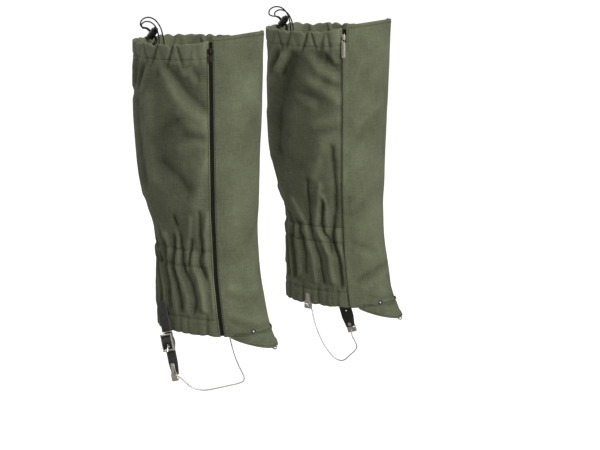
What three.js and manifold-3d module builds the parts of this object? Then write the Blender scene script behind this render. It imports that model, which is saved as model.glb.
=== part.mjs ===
// A pair of knee-high walking gaiters, each held under the boot by a wire stirrup.
// Millimetres. +X points forward, +Y to the wearer's left, +Z up.
// The origin lies on the ground, midway between the two legs.
import * as THREE from 'three';
import { mergeVertices } from 'three/addons/utils/BufferGeometryUtils.js';
import Module from 'manifold-3d';

const wasm = await Module();
wasm.setup();

// ---------- driving dimensions ----------
const stance = { apart: 234, stride: 53 };
const cloth = { wall: 1.5, hem: 95, backRim: 481, frontTop: 494, facingGap: 4, facing: 0.8, clear: 13 };
const channel = { top: 22, hem: 20, fold: 0.9 };
const ankle = { low: 190, high: 206 };
const roundness = 2 / 2.3;

const panelTop = { crown: 4, crownFoot: 450, seamRise: 9, seamRiseFoot: 430 };
const instepSeam = { rise: 3, gap: 0.5, reach: 43, drop: 18, spread: 13, ring: 1.6 };
const eyelet = { angle: 17, z: 101.6, hole: 2.6 };

// Levels where every sewn piece bends, between the hem and the rim.
const bends = [108, 122, 143, 175, 205, 235, 266, 300, 360, 461];
const columnCrowding = 0.07;

// The leg's level sections, lowest first. rear and front are how far a section reaches
// behind and ahead of the leg's axis, flare is the spread over the instep, and seam is
// the angle of both side seams from straight ahead, in degrees.
const legSections = [
  { z: 76, rear: -57, centre: 20, front: 95, half: 55, flare: 28, seam: 51.5 },
  { z: 97, rear: -58, centre: 19, front: 94, half: 55, flare: 16, seam: 52 },
  { z: 115, rear: -58.5, centre: 18, front: 93, half: 55, flare: 8, seam: 53 },
  { z: 143, rear: -58.6, centre: 17, front: 91.5, half: 54.5, flare: 1.5, seam: 54.5 },
  { z: 175, rear: -58.5, centre: 14, front: 86, half: 53.8, flare: 0, seam: 54 },
  { z: 205, rear: -59.5, centre: 11.5, front: 82.5, half: 53.5, flare: 0, seam: 53 },
  { z: 235, rear: -64, centre: 8, front: 81, half: 56, flare: 0, seam: 51.3 },
  { z: 262, rear: -73, centre: 5, front: 81.5, half: 60, flare: 0, seam: 50 },
  { z: 290, rear: -81, centre: 4.435, front: 82.46, half: 61.13, flare: 0, seam: 50 },
  { z: 330, rear: -87, centre: 3.629, front: 83.83, half: 62.742, flare: 0, seam: 50 },
  { z: 400, rear: -90, centre: 2.218, front: 86.23, half: 65.565, flare: 0, seam: 50 },
  { z: 465, rear: -88.5, centre: 0.907, front: 88.46, half: 68.185, flare: 0, seam: 50 },
  { z: 510, rear: -88, centre: 0, front: 90, half: 70, flare: 0, seam: 50 },
];

// Zip sizes. bead is the half width of the closed chain, low and high its faces.
const lateralZip = {
  side: -1, edge: 3.1, bead: 2.6, beadHigh: 1.5, beadLow: -1.8, tapeHigh: -1.2, gape: 0,
  plateHigh: [2, 2.8], plateLow: [-3.2, -2.3], plateHalf: 3.8, crown: 3.1,
};
const medialZip = {
  side: 1, edge: 1.4, bead: 2.2, beadHigh: -1.6, beadLow: -3.2, tapeHigh: -2.6, gape: 2.2,
  plateHigh: [-1.1, -0.5], plateLow: [-4.4, -3.7], plateHalf: 3, crown: 6,
};
const zipRun = {
  low: 96.5, high: 476, seat: 475.5, groove: 0.6, tape: 8.5, slider: 9, gapeLength: 33, bow: 120,
};

// The lateral strap, its buckle and clamp share one upright frame, set on the centre bar.
const strap = { width: 18, thick: 2, lean: 17, turn: 13, tip: 57, foot: -44.5 };
const buckle = { half: 10.8, topBar: 1.3, lowBar: 1.5, centreBar: 1, recess: 3, reach: 10.5, bend: 14 };
const buckleSeat = { x: -11.5, y: -59.8, z: 79 };
const tab = { width: 16, thick: 1.3, level: -4.85, top: 33 };
const clampPlate = {
  high: -29, low: -53, neck: 4, wide: 7, thick: 1.4, rivet: -40.5, rivetHole: 1.9, wireEnd: -49,
};

// The medial clip. behind is how far back its rivet stands for each millimetre aside.
const clip = { foot: 88, high: 111, neck: 3.6, wide: 6.2, wireHole: 93, thick: 1.4, behind: 0.135 };
const clipRivet = { z: 106.5, hole: 1.5 };

const wire = { radius: 0.9, ball: 2.7, overrun: 4.7, hole: 2.1, shortBy: 1.8 };
const cord = { radius: 1 };
const cordExit = { x: -84.4, spread: 5, z: 470, hole: 1.8 };
const lock = {
  at: [-76.9, 0, 485.6], radius: 5, long: 13, tilt: 41, slotHalf: 3.1, strand: 1.5, stroke: 2.3,
};

// ---------- materials ----------
function finish(colour, roughness, metalness = 0) {
  return () => new THREE.MeshStandardMaterial({ color: colour, roughness, metalness });
}
const shinCloth = finish(0x6c705a, 0.9);
const calfCloth = finish(0x5f634f, 0.92);
const elastic = finish(0x3a3b36, 0.95);
const zipTape = finish(0x24241f, 0.8);
const darkZinc = finish(0x2b2a27, 0.45, 0.6);
const nickel = finish(0xb9b3a3, 0.32, 0.9);
const leather = finish(0x2e2d2b, 0.6);
const blackCord = finish(0x232321, 0.8);
const blackPlastic = finish(0x1c1c1b, 0.5);
const steelWire = finish(0xcfcfca, 0.3, 0.95);

// ---------- small tools ----------
const rad = THREE.MathUtils.degToRad;
const lerp = THREE.MathUtils.lerp;
const clamp = THREE.MathUtils.clamp;

// Welds a geometry's corners, moves them by a rule, and leaves all faces pointing out.
function reshape(geometry, move = (p) => p) {
  geometry.deleteAttribute('normal');
  geometry.deleteAttribute('uv');
  const welded = mergeVertices(geometry, 1e-4);
  const places = welded.attributes.position;
  const p = new THREE.Vector3();
  for (let i = 0; i < places.count; i += 1) {
    const moved = move(p.fromBufferAttribute(places, i));
    places.setXYZ(i, moved.x, moved.y, moved.z);
  }
  return outward(welded);
}

function outward(geometry) {
  const places = geometry.attributes.position;
  const index = geometry.index;
  const a = new THREE.Vector3();
  const b = new THREE.Vector3();
  const c = new THREE.Vector3();
  let volume = 0;
  for (let i = 0; i < index.count; i += 3) {
    a.fromBufferAttribute(places, index.getX(i));
    b.fromBufferAttribute(places, index.getX(i + 1));
    c.fromBufferAttribute(places, index.getX(i + 2));
    volume += a.dot(b.cross(c));
  }
  if (volume < 0) {
    for (let i = 0; i < index.count; i += 3) {
      const first = index.getX(i);
      index.setX(i, index.getX(i + 2));
      index.setX(i + 2, first);
    }
  }
  geometry.computeVertexNormals();
  return geometry;
}

function solid(geometry) {
  const g = reshape(geometry);
  const vertProperties = new Float32Array(g.attributes.position.array);
  const triVerts = new Uint32Array(g.index.array);
  return new wasm.Manifold(new wasm.Mesh({ numProp: 3, vertProperties, triVerts }));
}

function shell(manifold) {
  const mesh = manifold.getMesh();
  const geometry = new THREE.BufferGeometry();
  geometry.setAttribute('position', new THREE.BufferAttribute(mesh.vertProperties, 3));
  geometry.setIndex(new THREE.BufferAttribute(mesh.triVerts, 1));
  return reshape(geometry);
}

// A piece joined from some geometries and cut by others.
function joined(parts, cuts = []) {
  let body = solid(parts[0]);
  for (const part of parts.slice(1)) body = body.add(solid(part));
  for (const cut of cuts) body = body.subtract(solid(cut));
  return shell(body);
}

function box(width, depth, height, x = 0, y = 0, z = 0) {
  return new THREE.BoxGeometry(width, depth, height).translate(x, y, z);
}

// A round bar between two points.
function bar(from, to, radius, sides = 10) {
  const start = new THREE.Vector3(...from);
  const end = new THREE.Vector3(...to);
  const along = end.clone().sub(start);
  const geometry = new THREE.CylinderGeometry(radius, radius, along.length(), sides);
  const turn = new THREE.Quaternion().setFromUnitVectors(new THREE.Vector3(0, 1, 0), along.normalize());
  return geometry.applyQuaternion(turn).translate(...start.add(end).multiplyScalar(0.5).toArray());
}

function circle(radius, sides) {
  const points = [];
  for (let i = 0; i < sides; i += 1) {
    const turn = (i / sides) * Math.PI * 2;
    points.push(new THREE.Vector2(Math.cos(turn) * radius, Math.sin(turn) * radius));
  }
  return points;
}

// A round tube along a smooth curve through the points.
function tube(points, radius, steps, sides = 8) {
  const path = new THREE.CatmullRomCurve3(points.map((p) => new THREE.Vector3(...p)));
  const section = new THREE.Shape(circle(radius, sides));
  return new THREE.ExtrudeGeometry(section, { extrudePath: path, steps, bevelEnabled: false });
}

function outline(points) {
  return new THREE.Shape(points.map(([x, y]) => new THREE.Vector2(x, y)));
}

// A flat plate: its outline lies in x and y, and it stands from one level to another in z.
function plate(points, from, to, holes = []) {
  const shape = outline(points);
  for (const hole of holes) {
    shape.holes.push(new THREE.Path(circle(hole.r, 10).map((p) => p.add(new THREE.Vector2(hole.x, hole.y)))));
  }
  return new THREE.ExtrudeGeometry(shape, { depth: to - from, bevelEnabled: false }).translate(0, 0, from);
}

// A side profile, drawn in y and z, made as wide as given along x.
function profile(points, width) {
  const geometry = new THREE.ExtrudeGeometry(outline(points), { depth: width, bevelEnabled: false });
  return reshape(geometry, (p) => p.set(p.z - width / 2, p.x, p.y));
}

// ---------- the leg's shape ----------
function between(stations, z, key) {
  const last = stations.length - 1;
  let i = 0;
  while (i < last - 1 && z > stations[i + 1].z) i += 1;
  const slope = (k) => {
    const low = stations[Math.max(k - 1, 0)];
    const high = stations[Math.min(k + 1, last)];
    return (high[key] - low[key]) / (high.z - low.z);
  };
  const span = stations[i + 1].z - stations[i].z;
  const t = clamp((z - stations[i].z) / span, 0, 1);
  const s = 1 - t;
  return (
    s * s * (1 + 2 * t) * stations[i][key] + t * t * (3 - 2 * t) * stations[i + 1][key]
    + s * s * t * span * slope(i) - t * t * s * span * slope(i + 1)
  );
}

function legPoint(angle, z, out = 0) {
  const at = (key) => between(legSections, z, key);
  const ahead = Math.cos(angle);
  const aside = Math.sin(angle);
  const centre = at('centre');
  const reach = (ahead > 0 ? at('front') - centre : centre - at('rear')) + out;
  const flare = ahead > 0 ? at('flare') * ahead ** 6 : 0;
  const x = centre + reach * Math.sign(ahead) * Math.abs(ahead) ** roundness + flare;
  const y = (at('half') + out) * Math.sign(aside) * Math.abs(aside) ** roundness;
  return new THREE.Vector3(x, y, z);
}

// The angle of a place beside a seam: ahead is how far forward of the seam it lies.
function besideSeam(z, side, ahead) {
  const seam = rad(between(legSections, z, 'seam'));
  const step = 0.01;
  const pace = legPoint(seam + step, z).distanceTo(legPoint(seam - step, z)) / (2 * step);
  return side * (seam - ahead / pace);
}

// How far a panel's edge stands from the seam line. A gaping seam opens over its top.
function edgeGap(zip, z) {
  const open = clamp((z - (cloth.frontTop - zipRun.gapeLength)) / zipRun.gapeLength, 0, 1);
  return zip.edge + zip.gape * open;
}

// A frame on the cloth: x forward along the cloth, y up it, z out of it.
function clothFrame(angle, z, out) {
  const at = legPoint(angle, z, out);
  const step = 0.02;
  const lead = angle < 0 ? step : -step;
  const x = legPoint(angle + lead, z, out).sub(legPoint(angle - lead, z, out)).normalize();
  const up = legPoint(angle, z + 2, out).sub(legPoint(angle, z - 2, out)).normalize();
  const zAxis = x.clone().cross(up).normalize();
  if (zAxis.dot(legPoint(angle, z, out + 1).sub(at)) < 0) {
    zAxis.negate();
    x.negate();
  }
  return { at, x, y: zAxis.clone().cross(x), z: zAxis };
}

// ---------- sewn pieces ----------
// A layer of cloth swept round the leg, through the given rows and between two side edges.
// Its columns crowd a little towards both edges.
function layer(rows, inner, outer, columns, edges, heightAt = (angle, row) => row) {
  const cells = rows.length - 1;
  return reshape(new THREE.BoxGeometry(1, 1, 1, columns, cells, 1), (p) => {
    const row = rows[Math.round((p.y + 0.5) * cells)];
    const t = p.x + 0.5 + columnCrowding * Math.sin(2 * Math.PI * p.x);
    const angle = lerp(edges.from(row), edges.to(row), t);
    return p.copy(legPoint(angle, heightAt(angle, row), p.z < 0 ? inner : outer));
  });
}

function frontPanel() {
  const rows = [cloth.hem, ...bends, cloth.frontTop];
  const edges = {
    from: (z) => besideSeam(z, -1, edgeGap(lateralZip, z)),
    to: (z) => besideSeam(z, 1, edgeGap(medialZip, z)),
  };
  const rise = (angle, z) => {
    const top = clamp((z - panelTop.crownFoot) / (cloth.frontTop - panelTop.crownFoot), 0, 1);
    const foot = clamp((cloth.hem + instepSeam.spread - z) / instepSeam.spread, 0, 1);
    const middle = Math.cos(angle * instepSeam.ring) ** 2;
    return z + panelTop.crown * middle * top + instepSeam.rise * foot * middle;
  };
  const holes = [-1, 1].map((side) => {
    const f = clothFrame(rad(eyelet.angle) * side, eyelet.z, 0);
    const deep = f.z.clone().multiplyScalar(6);
    return bar(f.at.clone().sub(deep).toArray(), f.at.clone().add(deep).toArray(), eyelet.hole, 10);
  });
  return joined([layer(rows, 0, cloth.wall, 12, edges, rise)], holes);
}

function instepFlap() {
  const middle = (angle) => Math.cos(angle * instepSeam.ring) ** 2;
  const high = (angle) => cloth.hem + instepSeam.rise * middle(angle) - instepSeam.gap;
  const low = (angle) => {
    const across = clamp(Math.abs(angle) / rad(instepSeam.reach), 0, 1);
    return high(angle) - 1.2 - instepSeam.drop * (1 - across ** 1.7);
  };
  const edges = { from: () => -rad(instepSeam.reach), to: () => rad(instepSeam.reach) };
  const between01 = (angle, row) => lerp(low(angle), high(angle), row);
  return layer([0, 0.35, 0.7, 1], 0, cloth.wall, 14, edges, between01);
}

// Side edges for anything on the back half: each stands its own distance from a seam.
function backEdges(fromMedial, fromLateral) {
  return {
    from: (z) => besideSeam(z, 1, -fromMedial(z)),
    to: (z) => 2 * Math.PI + besideSeam(z, -1, -fromLateral(z)),
  };
}

// The calf panel is folded in at its rim and hem, which leaves a channel at each.
function backPanel() {
  const rows = [cloth.hem, ...bends, cloth.backRim];
  const columns = 20;
  const edges = backEdges((z) => edgeGap(medialZip, z), (z) => edgeGap(lateralZip, z));
  const shortOfZips = backEdges(() => cloth.clear, () => cloth.clear);
  const rise = (angle, z) => {
    const top = clamp((z - panelTop.seamRiseFoot) / (cloth.backRim - panelTop.seamRiseFoot), 0, 1);
    const fromRear = Math.abs(angle - Math.PI) / (Math.PI - rad(50));
    return z + panelTop.seamRise * top * fromRear ** 6;
  };
  const facingOut = -cloth.facingGap;
  const facingIn = facingOut - cloth.facing;
  const rim = cloth.backRim;
  const hem = cloth.hem;
  const panel = [
    layer(rows, 0, cloth.wall, columns, edges, rise),
    layer([rim - channel.top, rim], facingIn, facingOut, columns, shortOfZips, rise),
    layer([rim - channel.fold, rim], facingIn, cloth.wall / 2, columns, shortOfZips, rise),
    layer([hem, hem + channel.hem], facingIn, facingOut, columns, shortOfZips, rise),
    layer([hem, hem + channel.fold], facingIn, cloth.wall / 2, columns, shortOfZips, rise),
  ];
  const cuts = [-1, 1].map((side) => {
    const y = side * cordExit.spread;
    return bar([cordExit.x - 2.2, y, cordExit.z], [cordExit.x + 5, y, cordExit.z], cordExit.hole, 8);
  });
  cuts.push(rivetHole(clipRivet.hole));
  return joined(panel, cuts);
}

// A band round the calf, clear of both zips.
function band(low, high, inner, outer) {
  const clear = () => zipRun.tape + 3.5;
  return layer([low, high], inner, outer, 20, backEdges(clear, clear));
}

// ---------- zips ----------
function zipHalf(zip, ahead) {
  const points = [
    [zipRun.groove, zip.beadLow], [zipRun.tape, zip.beadLow], [zipRun.tape, zip.tapeHigh],
    [zip.bead + 0.3, zip.tapeHigh], [zip.bead, zip.beadHigh], [zipRun.groove, zip.beadHigh],
  ];
  const levels = [zipRun.low, ...bends, zipRun.high];
  const settings = { depth: levels.length - 1, steps: levels.length - 1, bevelEnabled: false };
  const geometry = new THREE.ExtrudeGeometry(outline(points), settings);
  return reshape(geometry, (p) => {
    const z = levels[Math.round(p.z)];
    const f = clothFrame(besideSeam(z, zip.side, 0), z, 0);
    const out = p.y - p.x ** 2 / zipRun.bow;
    return p.copy(f.at.addScaledVector(f.x, -zip.side * ahead * p.x).addScaledVector(f.z, out).setZ(z));
  });
}

// The slider grips the chain between two plates. Its crown stands out through the slot.
function zipSlider(zip) {
  const long = zipRun.slider;
  const half = zip.plateHalf;
  const cap = (from, to) => plate(
    [[-half, -long / 2 + 1], [half, -long / 2 + 1], [half, long / 2 - 2], [half - 1.6, long / 2],
      [-half + 1.6, long / 2], [-half, long / 2 - 2]], from, to,
  );
  const web = box(0.5, 2, zip.plateHigh[0] - zip.plateLow[1] + 0.4, 0, long / 2 - 1.2,
    (zip.plateHigh[0] + zip.plateLow[1]) / 2);
  const foot = zip.plateHigh[1] - 0.3;
  const top = foot + zip.crown;
  const lug = profile(
    [[-2.6, foot], [2.4, foot], [1.8, top - 0.6], [1, top], [-1.4, top], [-2.2, top - 0.6]], 1.5,
  );
  const eye = bar([-2, -0.2, top - 1.8], [2, -0.2, top - 1.8], 1.1, 8);
  return joined([cap(...zip.plateHigh), cap(...zip.plateLow), web, lug], [eye]);
}

function crownEye(zip) {
  return zip.plateHigh[1] - 0.3 + zip.crown - 1.8;
}

// A wire link through the slider's eye, and a flat or corded grip that hangs from it.
function zipPull(long, width, thick) {
  const link = reshape(new THREE.TorusGeometry(1, 0.4, 6, 12), (p) => {
    const reach = Math.hypot(p.x, p.y);
    const ring = new THREE.Vector2(p.x, p.y).normalize();
    return p.set(ring.x * (reach + 1), ring.y * (reach + 1.6) - 2.6, p.z);
  });
  const grip = plate(
    [[-width / 2 + 0.8, -4.6], [-width / 2, -6], [-width / 2, -long + 1.5], [-width / 2 + 1.5, -long],
      [width / 2 - 1.5, -long], [width / 2, -long + 1.5], [width / 2, -6], [width / 2 - 0.8, -4.6]],
    -thick / 2, thick / 2,
  );
  return joined([link, grip]);
}

// ---------- top drawcord and its lock ----------
function drawcordRoute() {
  const y = lock.strand;
  return [
    [-86.1, 5, 470], [-81.5, 5, 469.6], [-76, 4, 471], [-71.4, 2.3, 474.6], [-70.6, y, 478.4],
    [-72.35, y, 481.65], [-76.9, y, 485.6], [-81.45, y, 489.55],
    [-87, 1.8, 492.6], [-94, 2.3, 493.2], [-99, 2.8, 495.4], [-98.6, 3, 500.6], [-93, 3, 505.2],
    [-84, 2.8, 507], [-74, 2.8, 504], [-66, 3.2, 495.5], [-62, 3.8, 484], [-60.4, 4.4, 472],
    [-60, 3.4, 463], [-60.2, 0, 460], [-60.8, -3.6, 463.4], [-61.8, -4.4, 473], [-63.6, -3.6, 485],
    [-69, -3, 496], [-77.4, -2.8, 501.4], [-86.4, -2.8, 501.6], [-93, -2.6, 497.4],
    [-91.8, -2.2, 492.8], [-86.6, -y, 492.4], [-81.45, -y, 489.55], [-76.9, -y, 485.6],
    [-72.35, -y, 481.65], [-70.6, -y, 478.4], [-71.4, -2.3, 474.6], [-76, -4, 471],
    [-81.5, -5, 469.6], [-86.1, -5, 470],
  ];
}

function lockBarrel() {
  const body = bar([0, 0, -lock.long / 2], [0, 0, lock.long / 2], lock.radius, 14);
  const bore = bar([0, 0, -lock.long / 2 + 1.6], [0, 0, lock.long / 2 + 1], 3.9, 12);
  const slot = box(14, 2 * lock.slotHalf, 3.2);
  return joined([body], [bore, slot]);
}

function lockPlunger() {
  const rest = -lock.long / 2 + 1.6 + lock.stroke;
  const stem = bar([0, 0, rest], [0, 0, lock.long / 2 + 3.4], 3.5, 12);
  const slot = box(14, 2 * lock.slotHalf, 5.2, 0, 0, 1.3);
  return joined([stem], [slot]);
}

// ---------- lateral strap, buckle and clamp ----------
// How far out the strap's middle lies at a height: it weaves through the three bars.
function strapLine(y) {
  const over = -buckle.recess + 1 + 0.3 + 1.3 + 0.3 + strap.thick / 2;
  const under = -(y > 0 ? buckle.topBar : buckle.lowBar) - 0.3 - strap.thick / 2;
  const t = clamp(Math.abs(y) / buckle.reach, 0, 1);
  return lerp(under, over, (1 + Math.cos(Math.PI * t)) / 2);
}

function lowerStrap() {
  const heights = [12.8, 10.5, 8.7, 7, 5.2, 3.5, 1.7, 0, -1.7, -3.5, -5.2, -7, -8.7, -10.5, -14, strap.foot];
  const half = strap.thick / 2;
  const points = heights.map((y) => [y, strapLine(y) + half]);
  points.push(...heights.toReversed().map((y) => [y, strapLine(y) - half]));
  const body = profile(points, strap.width);
  const corner = (side) => {
    const edge = side * strap.width / 2;
    const foot = strap.foot;
    return plate([[edge, foot + 16], [side * 6.2, foot - 1], [edge + side, foot - 1]], -8, 2);
  };
  const holes = [box(3.2, 6.6, 8, 0, -3.7, 0), bar([0, 0, -8], [0, 0, 4], 1.1, 8).translate(0, -20, 0),
    bar([0, clampPlate.rivet, -8], [0, clampPlate.rivet, 4], clampPlate.rivetHole, 10)];
  return joined([body], [corner(-1), corner(1), ...holes]);
}

function strapTail() {
  const half = strap.width / 2;
  const low = buckle.bend + 0.1;
  const high = strap.tip;
  const level = strapLine(20);
  const holes = [16.7, 27.2, 37.7].map((y) => ({ x: 0, y, r: 1.1 }));
  const edge = [[-half, low], [half, low], [half, high - 9], [half - 2.4, high - 4.4], [half - 6, high - 1],
    [0, high], [-half + 6, high - 1], [-half + 2.4, high - 4.4], [-half, high - 9]];
  return plate(edge, level - strap.thick / 2, level + strap.thick / 2, holes);
}

// The buckle's leather tab: its stitched end on the cloth, and the loop that hangs from it.
function buckleTab() {
  const low = buckle.bend + 0.2;
  return box(tab.width, tab.top - low, tab.thick, 0, (tab.top + low) / 2, tab.level);
}

function buckleLoop() {
  const centre = -buckle.recess;
  const leg = box(tab.width, buckle.bend - 0.2, tab.thick, 0, (buckle.bend - 0.2) / 2, tab.level);
  const wrap = bar([-8, 0, centre], [8, 0, centre], 2.5, 14);
  const bore = bar([-9, 0, centre], [9, 0, centre], buckle.centreBar + 0.4, 14);
  const gap = box(3.4, 7, 8, 0, 0, centre);
  return joined([wrap, leg], [bore, gap]);
}

function buckleFrame() {
  const w = buckle.half;
  const r = buckle.reach;
  const deep = -buckle.recess;
  const parts = [
    bar([-w, r, 0], [w, r, 0], buckle.topBar, 10),
    bar([-w, -r, 0], [w, -r, 0], buckle.lowBar, 10),
    bar([-w, 0, deep], [w, 0, deep], buckle.centreBar, 10),
  ];
  for (const side of [-1, 1]) {
    const cheek = profile([[-r - 1.5, -1.3], [-2.4, deep - 1.1], [2.4, deep - 1.1], [r + 1.3, -1.2],
      [r + 1.3, 1.2], [-r - 1.5, 1.3]], 1.8);
    parts.push(cheek.translate(side * w, 0, 0));
  }
  return joined(parts);
}

function buckleProng() {
  const centre = -buckle.recess;
  const ring = bar([-1.2, 0, centre], [1.2, 0, centre], 2.3, 14);
  const bore = bar([-2, 0, centre], [2, 0, centre], buckle.centreBar + 0.4, 14);
  const rod = tube([[0, -1.9, -2.1], [0, -4.7, -0.2], [0, -8.6, 2.3], [0, -12.4, 3.2]], 0.85, 6);
  return joined([ring, rod], [bore]);
}

// The clamp's inner face lies just outside the strap.
function clampFace() {
  return strapLine(strap.foot) + strap.thick / 2 + 0.35;
}

// A bottle-shaped metal plate: narrow neck, sloping shoulders and a wide foot.
function bottle(high, low, neck, wide) {
  const shoulder = lerp(high, low, 0.42);
  return [[-neck + 0.8, high], [neck - 0.8, high], [neck, high - 0.8], [neck, shoulder],
    [wide, shoulder - 5], [wide, low + 1], [wide - 1, low], [-wide + 1, low], [-wide, low + 1],
    [-wide, shoulder - 5], [-neck, shoulder]];
}

function wireClamp() {
  const edge = bottle(clampPlate.high, clampPlate.low, clampPlate.neck, clampPlate.wide);
  const holes = [
    { x: 0, y: clampPlate.rivet, r: clampPlate.rivetHole },
    { x: 4.1, y: -45.6, r: 1.2 },
  ];
  return plate(edge, clampFace(), clampFace() + clampPlate.thick, holes);
}

// A rivet: two heads on one shank, along z.
function rivet(low, high, head, shank) {
  return joined([
    bar([0, 0, low - 0.4], [0, 0, high + 0.4], shank, 10),
    bar([0, 0, high], [0, 0, high + 0.8], head, 12),
    bar([0, 0, low - 0.8], [0, 0, low], head, 12),
  ]);
}

// ---------- medial clip and the stirrup wire ----------
function clipFrame() {
  const angle = Math.atan2(1, -clip.behind);
  const f = clothFrame(angle, clipRivet.z, cloth.wall + 0.35);
  const [x, y, z] = [[-1, 0, 0], [0, 0, 1], [0, 1, 0]].map((axis) => new THREE.Vector3(...axis));
  return { at: f.at, x, y, z };
}

function rivetHole(radius) {
  const { at } = clipFrame();
  return bar([at.x, at.y - 4, at.z], [at.x, at.y + 3, at.z], radius, 10);
}

function wireClip() {
  const up = (z) => z - clipRivet.z;
  const edge = bottle(up(clip.high), up(clip.foot), clip.neck, clip.wide);
  const holes = [{ x: 0, y: 0, r: 1.55 }, { x: 0, y: up(clip.wireHole), r: wire.hole }];
  return plate(edge, 0, clip.thick, holes);
}

// The strap frame's axes in the gaiter: x across the strap, y up it, z out from the leg.
function strapFrame() {
  const turn = rad(strap.turn);
  const lean = rad(strap.lean);
  const z = new THREE.Vector3(-Math.sin(turn), -Math.cos(turn), 0);
  const level = new THREE.Vector3(0, 0, 1).cross(z);
  const up = new THREE.Vector3(0, 0, 1);
  const y = up.clone().multiplyScalar(Math.cos(lean)).addScaledVector(level, -Math.sin(lean));
  const x = y.clone().cross(z);
  return { at: new THREE.Vector3(buckleSeat.x, buckleSeat.y, buckleSeat.z), x, y, z };
}

function inStrapFrame(x, y, z) {
  const f = strapFrame();
  return f.at.clone().addScaledVector(f.x, x).addScaledVector(f.y, y).addScaledVector(f.z, z);
}

// The wire's ends lie on one line: through the clip's hole, and close behind the clamp.
function wireEnds() {
  const c = clipFrame();
  const inner = new THREE.Vector3(c.at.x, c.at.y + clip.thick / 2, clip.wireHole);
  const outer = inStrapFrame(0, clampPlate.wireEnd, clampFace() + clampPlate.thick / 2);
  return { inner, outer, along: outer.clone().sub(inner).normalize() };
}

function stirrupRoute() {
  const { inner, outer, along } = wireEnds();
  const at = (end, distance) => end.clone().addScaledVector(along, distance).toArray();
  return [
    at(inner, -wire.overrun), at(inner, 0), at(inner, 3), [6.4, 50.6, 86], [9, 50.4, 76], [13.4, 50, 62],
    [19, 48.6, 48], [26, 47, 35], [34, 45, 24.4], [41.5, 42, 16.8], [46, 35, 12.8], [45.6, 24, 11.6],
    [41.5, 10, 11.4], [36.6, -6, 11.4], [32, -22, 11.6], [28.4, -34, 12.8], [23.6, -42, 15.4],
    [16.4, -48, 20], [10.6, -50.4, 25.6], at(outer, -4.4), at(outer, -wire.shortBy),
  ];
}

function stirrupWire() {
  const route = stirrupRoute();
  const ball = new THREE.SphereGeometry(wire.ball, 10, 7).translate(...route[0]);
  return joined([tube(route, wire.radius, 44), ball]);
}

// ---------- instep pieces ----------
function eyeletRing() {
  const points = [
    [1.4, -0.8], [2.1, -0.8], [2.1, 2], [3.4, 2], [3.2, 2.5], [1.8, 2.5], [1.4, 2.2], [1.4, -0.8],
  ];
  const profilePoints = points.map(([r, z]) => new THREE.Vector2(r, z));
  return reshape(new THREE.LatheGeometry(profilePoints, 12), (p) => p.set(p.x, -p.z, p.y));
}

function laceHook() {
  const path = [
    [0, 5, -2.1], [0, 0, -2.1], [0, -5, -2.1], [0, -8.8, -1.2], [0, -10.4, 1.6], [0, -9.2, 4.2], [0, -6.6, 5],
  ];
  const base = box(7, 5, 1, 0, 3, -2.1);
  return joined([base, tube(path, 0.85, 14)]);
}

// ---------- assembly ----------
function mirrored(v) {
  return new THREE.Vector3(v.x, -v.y, v.z);
}

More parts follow.
